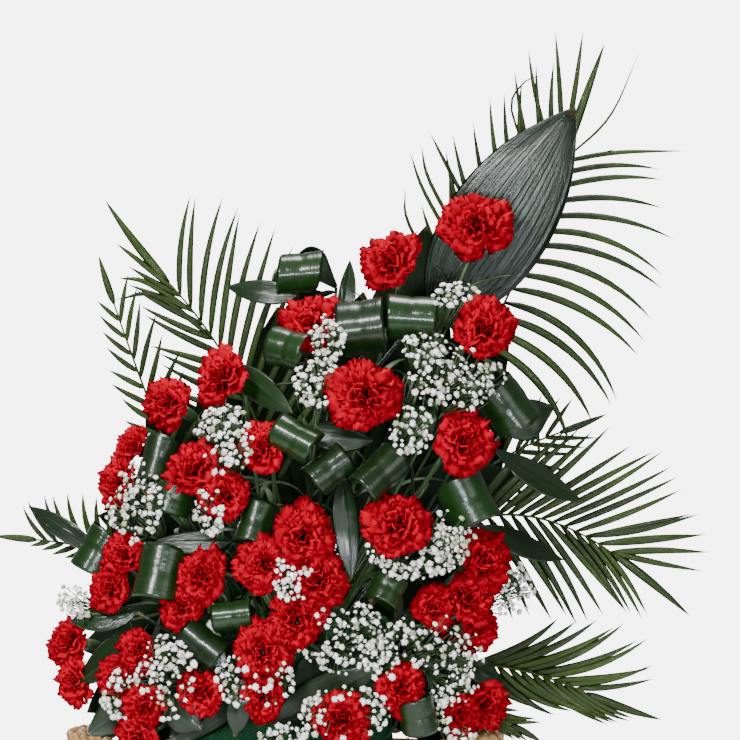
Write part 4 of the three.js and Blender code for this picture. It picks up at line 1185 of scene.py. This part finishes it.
def depth_at(places, rib):
    """How far back a frond lies at places across and up: as far as its rib's nearest point,
    then nearer by a share of the distance from the rib, and further by its square."""
    root, step = rib[:-1], rib[1:] - rib[:-1]
    flat_root, flat_step = root[:, [0, 2]], step[:, [0, 2]]
    reach = ((places[:, None] - flat_root) * flat_step).sum(-1) / (flat_step**2).sum(-1)
    reach = np.clip(reach, 0, 1)
    gap = np.linalg.norm(flat_root + flat_step * reach[..., None] - places[:, None], axis=-1)
    nearest = gap.argmin(axis=1)
    rows = np.arange(len(places))
    off = gap[rows, nearest]
    return root[nearest, 1] + step[nearest, 1] * reach[rows, nearest] + DROOP * off**2 - LIFT * off


def leaflet_side(leaflets, rib_points, curve, start, spec, sign, rng):
    """The leaflets on one side: each turns steadily from its root to its tip, is folded along
    its middle and is broadest there."""
    count, longest, spread, curl = spec
    share = np.arange(count) / count
    t = start + (1 - start) * share
    first, second = curve[1] - curve[0], curve[2] - curve[1]
    way = unit(first * (1 - t)[:, None] + second * t[:, None])
    middle_way = mix(first, second, (1 + start) / 2)
    angle = mix(np.arctan2(way[:, 2], way[:, 0]), math.atan2(middle_way[2], middle_way[0]), EVEN)
    angle = angle + sign * np.radians(spread * (1.15 - 0.6 * share) + rng.uniform(-2.5, 2.5, count))
    turn = -sign * np.radians(curl * (1 - 0.5 * share) + rng.uniform(-5, 5, count))
    long = longest * leaflet_share(share) * rng.uniform(0.93, 1.02, count)
    half = LEAFLET_HALF * (1 if longest > LONG_LEAFLET else SHORT_SLIM) * (1 - 0.35 * share)
    run = np.linspace(0, 1, LEAFLET_ROWS)[None]
    heading = angle[:, None] + turn[:, None] * run
    ahead = np.stack([np.cos(heading), np.sin(heading)], axis=-1)
    flat = bezier(*curve, t)[:, None, [0, 2]] + (long[:, None] * run)[..., None] * ahead
    back = depth_at(flat.reshape(-1, 2), rib_points).reshape(count, -1)
    back = back + rng.uniform(-1.5, 1.5, (count, 1)) * run
    path = np.stack([flat[..., 0], back, flat[..., 1]], axis=-1)
    leaflet_blades(leaflets, path, half, rng)


def leaflet_blades(leaflets, path, half, rng):
    """Leaflets along their paths: the width follows a power of a sine wave, a little wider
    towards the root, and comes to a point at the tip."""
    run = np.linspace(0, 1, LEAFLET_ROWS)[None]
    across = np.cross(np.gradient(path, axis=1), FRONT)
    belly = np.sin(np.pi * run**0.85) ** 0.7 * (1 - 0.25 * run) + 0.35 * (1 - run) ** 3
    width = np.maximum(half[:, None] * belly, 0.15)
    tints = rng.uniform(0, 1, (len(path), 1))
    add_folded(leaflets, path, across, width, LEAFLET_FOLD, LEAFLET_COLUMNS, LEAFLET_THICK, tints)


def stray_leaflets(leaflets, strays, curve, rib_points, rng):
    """Leaflets outside the fan, each on a smooth curve from its place on the rib."""
    for share, places, half in strays:
        root = bezier(*curve, share)[[0, 2]]
        flat = smooth_run(np.array([root, *places], float), LEAFLET_ROWS)
        path = np.column_stack([flat[:, 0], depth_at(flat, rib_points), flat[:, 1]])
        leaflet_blades(leaflets, path[None], np.array([half]), rng)


def palm_frond(name, spec, rng):
    """A rib that tapers to its tip, with folded leaflets on both sides and one at its end."""
    curve = np.array(spec["rib"], float)
    rib_points = bezier(*curve, np.linspace(0, 1, RIB_STATIONS))
    leaflets = Surfaces()
    add_rods(leaflets, rib_points[None], np.linspace(2.3, 1.0, RIB_STATIONS), 8, 0.9)
    for key, sign in (("left", 1), ("right", -1)):
        leaflet_side(leaflets, rib_points, curve, spec["from"], spec[key], sign, rng)
    last = [1, END_LEAFLET / leaflet_share(0) * max(spec["left"][1], spec["right"][1]), 0, 0]
    leaflet_side(leaflets, rib_points, curve, RIB_END, last, 1, rng)
    stray_leaflets(leaflets, STRAY_LEAFLETS.get(name, []), curve, rib_points, rng)
    leaflets.piece("frond_" + name, PALM_GREEN, "palm_leaflet", "palm_frond_" + name)


# Gypsophila
FLORETS_EACH = 22  # florets for each unit of a cloud's weight
FLORET_GAP = 5.2  # the least distance between two florets
FLORET_SIDES = 8
FLORET_LEAST, FLORET_MORE = 1.3, 2.6  # the smallest radius, and what a draw adds to it
CLOUD_DRAWS = 4000  # places tried for each cloud
CLOUD_EDGE = 4  # how far florets stray past a cloud's oval
CLOUD_BACK, CLOUD_DEEP = 6, 30  # their layer starts behind the mass's face and comes forward
BLOOM_MARGIN = 3.5  # what they keep from a bloom


def inside_blooms(places, flowers, margin):
    """Whether each place lies in the flattened ball round any bloom."""
    hit = np.zeros(len(places), bool)
    for flower in flowers:
        way = places - flower["at"]
        high = way @ flower["out"]
        aside = np.sqrt(np.maximum(0, (way**2).sum(1) - high**2))
        wide = flower["wide"]
        hit |= (aside / (0.52 * wide + margin)) ** 2 + (high / (0.34 * wide + margin)) ** 2 < 1
    return hit


def cloud_places(cloud, flowers, rng):
    """Places for a cloud's florets: even draws over its oval and through a layer at the mass's
    face, kept clear of the blooms and of each other."""
    x, up, half_wide, half_tall, weight = cloud
    tries = rng.uniform(size=(CLOUD_DRAWS, 3))
    angle, reach = tries[:, 0] * TURN, np.sqrt(tries[:, 1]) * 1.06
    px = x + (half_wide + CLOUD_EDGE) * reach * np.cos(angle)
    pz = up + (half_tall + CLOUD_EDGE) * reach * np.sin(angle)
    back = mass_front(px, pz) + CLOUD_BACK - CLOUD_DEEP * tries[:, 2]
    places = np.column_stack([px, back, pz])
    places = places[~inside_blooms(places, flowers, BLOOM_MARGIN)]
    kept = places[:1]
    for at in places[1:]:
        if len(kept) >= FLORETS_EACH * weight:
            break
        if np.linalg.norm(kept - at, axis=1).min() > FLORET_GAP:
            kept = np.vstack([kept, at])
    return kept


FLORET_RUN = np.array([-0.75, -0.1, 0.25, 0.62])  # rings of a floret, in its own radii
FLORET_RADII = np.array([0.3, 1.0, 0.86, 0.42])


def add_florets(surfaces, places, ways, rng):
    """Double florets: a short closed rod whose rings swell and ruffle like layered petals."""
    count = len(places)
    size = FLORET_LEAST + FLORET_MORE * rng.uniform(0, 1, (count, 1)) ** 1.1
    paths = places[:, None] + ways[:, None] * (FLORET_RUN * size)[..., None]
    teeth = np.where(np.arange(FLORET_SIDES) % 2, 0.22, -0.22)
    flip = np.array([1, 1, -1, 1])[:, None]
    ripple = 1 + teeth * flip + rng.uniform(-0.14, 0.14, (count, len(FLORET_RUN), FLORET_SIDES))
    tints = rng.uniform(0, 1, (count, 1))
    add_rods(surfaces, paths, size * FLORET_RADII, FLORET_SIDES, tints, ripple)


def gypsophila_spray(name, clouds, flowers, rng):
    """One spray: a stem to the back of each cloud, branches from it, and a fine stalk from a
    branch to each floret."""
    florets, stalks = Surfaces(), Surfaces()
    first = None
    for cloud in clouds:
        x, up = cloud[:2]
        hub = mix(HEART, np.array([x, mass_front(x, up), up]), 0.8)
        start = from_heart(hub) if first is None else mix(HEART, first, 0.62)
        first = hub if first is None else first
        stem = smooth_run(np.array([start, mix(start, hub, 0.5), hub]), 8)
        add_rods(stalks, stem[None], 1.5, 6)
        places = cloud_places(cloud, flowers, rng)
        joints = mix(hub, places[::6], 0.55)
        hubs = np.broadcast_to(hub, joints.shape)
        bows = mix(hubs, joints, 0.5) + rng.uniform(-3, 3, joints.shape)
        add_rods(stalks, np.stack([hubs, bows, joints], axis=1), np.array([1.1, 0.9, 0.7]), 5)
        nearest = np.linalg.norm(places[:, None] - joints[None], axis=-1).argmin(axis=1)
        roots = joints[nearest]
        bends = mix(roots, places, 0.55) + rng.uniform(-2.5, 2.5, places.shape)
        ways = unit(unit(places - bends) + rng.uniform(-0.35, 0.35, places.shape))
        threads = np.stack([roots, bends, places - ways * 2.0], axis=1)
        add_rods(stalks, threads, np.array([0.55, 0.45, 0.4]), 4)
        add_florets(florets, places, ways, rng)
    node = "gypsophila_" + name
    florets.piece("florets_" + name, WHITE, "gypsophila_floret", node)
    stalks.piece("floret_stalks_" + name, STEM, "green_stem", node)


# The basket
STAKES = 34
STAKE_HALF = 2.1
WEAVERS = 37
WEAVER_HALF = 3.2
WALL_MIDDLE = 3.4  # how far inside the wall's outer line its rods run
SWAY = 1.9  # how far a weaver swings out and in past the stakes
FLOOR_RINGS = 6.6  # from one ring of the floor to the next
FLOOR_SPOTS = 96  # stations of a ring
SPOKES = 12
FLARE = 0.85
BRAID_ROD = 0.29  # radius of a braid's rods, as a share of the braid's
BRAID_SWING, BRAID_CLIMB = 0.78, 0.465  # shares of the room that the rods' paths take up
TWIN_ASIDE, TWIN_UP = 0.168, 0.8  # how far the two rods of a pair lie apart


def alternate(count):
    """Minus one and one in turn, as a column."""
    return np.where(np.arange(count) % 2, 1, -1)[:, None]


def wall_half(up):
    """The wall's half width across grows as the flare's power of the height."""
    rise = np.maximum(up, 0) / (RIM_UP - RIM_ROD)
    return FLOOR_HALF + (WIDE_HALF - 2 - FLOOR_HALF) * rise**FLARE


def oval_path(turn, half, up):
    """Places round the basket's oval: cosine and sine of the turn times the half width, and
    the sine again by the oval's share."""
    turn, half, up = np.broadcast_arrays(turn, half, up)
    return np.stack([half * np.cos(turn), half * np.sin(turn) * OVAL, up], axis=-1)


def basket_wall():
    """Upright stakes, and weavers that pass in front of one stake and behind the next. The
    floor has spokes, and rings of which one passes over them and the next one under."""
    rng = draws("wall")
    wall = Surfaces()
    top = RIM_UP - RIM_ROD - 2
    ups = np.linspace(3, top, 16)
    stakes = oval_path(evenly(STAKES)[:, None], wall_half(ups) - WALL_MIDDLE, ups)
    add_rods(wall, stakes, STAKE_HALF, 6, rng.uniform(0, 1, (STAKES, 1)))
    turn = evenly(STAKES * 6)
    rows = np.linspace(WEAVER_HALF + 9, top - 4, WEAVERS)[:, None]
    sway = SWAY * np.cos(turn * STAKES / 2) * alternate(WEAVERS)
    bob = 0.35 * np.sin(turn * 5 + rows)
    weavers = oval_path(turn, wall_half(rows) - WALL_MIDDLE + sway, rows + bob)
    add_rings(wall, weavers, WEAVER_HALF, 6, rng.uniform(0, 1, (WEAVERS, 1)), 9)
    reach = np.arange(7, FLOOR_HALF - 6, FLOOR_RINGS)[:, None]
    turn = evenly(FLOOR_SPOTS)
    lift = 3.7 + 0.5 * np.cos(turn * SPOKES) * alternate(len(reach))
    add_rings(wall, oval_path(turn, reach, lift), 3.1, 6, rng.uniform(0, 1, (len(reach), 1)), 6)
    spokes = oval_path(evenly(SPOKES)[:, None], np.linspace(0, FLOOR_HALF - 4, 6), 4.2)
    add_rods(wall, spokes, 2.0, 6, 0.3)
    wall.piece("woven_wall", WILLOW, "wicker", "basket_wall")


def braid(group, half, up, room, waves, rng):
    """Six rods that plait round the oval: each swings in and out once for every two swings up
    and down, in three pairs a third of a wave apart."""
    plait = Surfaces()
    turn = evenly(waves * 18)
    rod_half = room * BRAID_ROD
    swing, climb = (room - rod_half) * BRAID_SWING, (room - rod_half) * BRAID_CLIMB
    for strand in range(3):
        for twin in (-1, 1):
            phase = turn * waves + strand * TURN / 3
            aside = half + swing * np.sin(phase) + TWIN_ASIDE * twin * room * np.cos(phase)
            high = up + climb * np.sin(2 * phase) + TWIN_UP * twin * rod_half
            add_rings(plait, oval_path(turn, aside, high)[None], rod_half, 7, rng.uniform(0, 1), 20)
    plait.piece(group + "_braid", WILLOW, "wicker", "basket_" + group + "_braid")


def add_turned(surfaces, profile, sides, rough=0.0, rng=None):
    """A closed turned form on the basket's oval: the profile's rows are half width and height,
    and it starts and ends on the axis. It is roughened at random along its radius."""
    half, up = profile[1:-1, :1], profile[1:-1, 1:]
    rings = oval_path(evenly(sides), half, up)
    if rough:
        shift = rng.normal(0, rough, rings.shape[:2])
        rings[..., :2] *= (1 + shift / np.maximum(half, 20))[..., None]
        rings[..., 2] += shift * 0.4
    ends = [[0, 0, profile[0, 1]], [0, 0, profile[-1, 1]]]
    places = np.concatenate([rings.reshape(-1, 3), ends])[None]
    stations = len(half)
    round_it = np.tile(np.arange(sides) / sides, stations)
    run = np.repeat(np.linspace(0, 1, stations), sides)
    prints = np.concatenate([np.column_stack([round_it, run]), np.zeros((2, 2))])
    surfaces.add(places, rod_faces(stations, sides), prints, 0.5)


def plastic_liner():
    """A thin liner inside the wall: straight sides between its floor and a rolled lip."""
    low, top, gap = WALL + CLEAR, RIM_UP - 22, WALL + 3
    sides = np.linspace(wall_half(low), wall_half(top), 8) - gap
    outer = np.column_stack([sides, np.linspace(low, top, 8)])
    inner = outer[::-1] - [LINER_WALL, 0]
    inner[-1, 1] += LINER_WALL
    lip = [[outer[-1, 0] - LINER_WALL / 2, top + 0.8]]
    profile = np.concatenate([[[0, low]], outer, lip, inner, [[0, low + LINER_WALL]]])
    liner = Surfaces()
    add_turned(liner, profile, 96)
    liner.piece("liner", BLACK, "liner_plastic", "basket_liner")


def foam_block():
    """A block of floral foam, trimmed round its top edge and roughened by hand."""
    low = WALL + LINER_WALL + 2 * CLEAR
    halves, ups = np.linspace(FOAM_HALF, FOAM_HALF - 13, 40), np.linspace(low, FOAM_TOP - 5, 40)
    cap = [[half, FOAM_TOP - 1] for half in (106, 90, 72, 54, 36, 18, 0)]
    profile = np.concatenate([[[0, low]], [[60, low]], np.column_stack([halves, ups]), cap])
    foam = Surfaces()
    add_turned(foam, profile, 110, FOAM_ROUGH, draws("foam"))
    foam.piece("foam_block", FOAM, "floral_foam", "floral_foam")


# Everything in turn
bunches = carnation_places()
flowers = [flower for bunch in bunches.values() for flower in bunch]
bloom_draws, stem_draws = draws("blooms"), draws("stems")
stems = Surfaces()
for name, members in bunches.items():
    heads = Surfaces()
    for flower in members:
        add_bloom(heads, flower, bloom_draws)
    heads.piece("heads_" + name, RED, "carnation_petal", "carnations_" + name)
    bunch_stems(stems, members, stem_draws)
stems.piece("stems", STEM, "green_stem", "carnation_stems")

for i, name in enumerate(LOOPS):
    leaf_bunch(name, draws("leaves", i))
back_leaves(draws("back_leaves"))
low_leaves(draws("low_leaves"))
crown_leaf(draws("crown_leaf"))
for i, (name, spec) in enumerate(FRONDS.items()):
    palm_frond(name, spec, draws("fronds", i))
for i, (name, clouds) in enumerate(SPRAYS.items()):
    gypsophila_spray(name, clouds, flowers, draws("sprays", i))

basket_wall()
braid("rim", WIDE_HALF, RIM_UP, RIM_ROD, 18, draws("rim"))
foot_half = wall_half(FOOT_ROD) + 1.06 * FOOT_ROD + CLEAR
braid("foot", foot_half, FOOT_ROD, FOOT_ROD, 14, draws("foot"))
plastic_liner()
foam_block()


# The studio
FLOOR_DISC = 1.15  # metres, half width
PAPER_LIGHT = 0.2  # strength of the surround's light on the flowers
PAPER_SEEN = 6.0  # and of the paper as the lens sees it
# Lamps in metres and watts: place, the point they face, size, power and colour
LAMPS = {
    "key_lamp": [(-1.0, -2.2, 1.9), (0.05, 0, 0.6), (0.4, 0.4), 115, (1, 1, 1)],
    "fill_lamp": [(1.9, -2.2, 0.9), (0.05, 0, 0.55), (1.4, 1.4), 25, (1, 1, 1)],
    "strip_lamp": [(0.1, -2.6, 0.53), (0.2, 0, 0.8), (0.7, 0.24), 62, (0.86, 0.93, 1)],
    "back_lamp": [(-0.8, 2.4, 1.3), (0.05, 0, 0.5), (1.0, 1.0), 28, (1, 1, 1)],
    "top_lamp": [(0.3, 0.2, 2.5), (0.1, 0, 0.6), (0.9, 0.7), 60, (1, 1, 1)],
}
AIM = np.array([0.089, 0.0, 0.660])  # in metres, the middle of the picture
LENS_AWAY = 5.2
LENS_DOWN = math.radians(1)
LENS_LONG, SENSOR_WIDE = 240, 36  # millimetres


def studio_floor():
    """A plain pale disc under the basket."""
    turn = evenly(FLOOR_SPOTS)
    floor = bpy.data.meshes.new("studio_floor")
    rim = FLOOR_DISC * np.stack([np.cos(turn), np.sin(turn)], axis=-1)
    places = np.column_stack([rim, np.full(FLOOR_SPOTS, -0.0005)])
    floor.from_pydata(places.tolist(), [], [list(range(FLOOR_SPOTS))])
    material, tree, shader = new_material("studio_paper", 0.8, 0.2)
    cloud = noise(tree, place(tree), 3, 3.0)
    pale = colours(tree, cloud, [(0.3, (0.8, 0.8, 0.79)), (0.7, (0.86, 0.86, 0.85))])
    tree.links.new(pale, shader.inputs["Base Color"])
    floor.materials.append(material)
    made = bpy.data.objects.new("studio_floor", floor)
    bpy.context.scene.collection.objects.link(made)


def stand(name, made_of, at, way):
    """A lamp or a camera at a place, turned to look along the way given."""
    made = bpy.data.objects.new(name, made_of)
    made.location = at
    made.rotation_euler = Vector(way).to_track_quat("-Z", "Y").to_euler()
    bpy.context.scene.collection.objects.link(made)
    return made


def soft_light(name, at, toward, size, power, colour):
    """A large soft lamp that faces a point."""
    lamp = bpy.data.lights.new(name, "AREA")
    lamp.shape = "RECTANGLE"
    lamp.size, lamp.size_y = size
    lamp.energy = power
    lamp.color = colour
    stand(name, lamp, at, np.array(toward) - np.array(at))


def white_world():
    """A surround that lights the flowers softly and that the lens sees as white paper."""
    world = bpy.data.worlds.new("white_surround")
    bpy.context.scene.world = world
    world.use_nodes = True
    tree = world.node_tree
    paper = tree.nodes["Background"]
    paper.inputs["Color"].default_value = (1, 1, 1, 1)
    rays = add_node(tree, "ShaderNodeLightPath")
    seen = sums(tree, "MULTIPLY", rays.outputs["Is Camera Ray"], PAPER_SEEN - PAPER_LIGHT)
    tree.links.new(sums(tree, "ADD", seen, PAPER_LIGHT), paper.inputs["Strength"])


studio_floor()
white_world()
for name, (at, toward, size, power, colour) in LAMPS.items():
    soft_light(name, at, toward, size, power, colour)

eye = bpy.data.cameras.new("photo_camera")
eye.lens = LENS_LONG
eye.sensor_width = SENSOR_WIDE
eye_at = Vector(AIM + np.array([0, -LENS_AWAY, LENS_AWAY * math.tan(LENS_DOWN)]))
bpy.context.scene.camera = stand("photo_camera", eye, eye_at, AIM - np.array(eye_at))
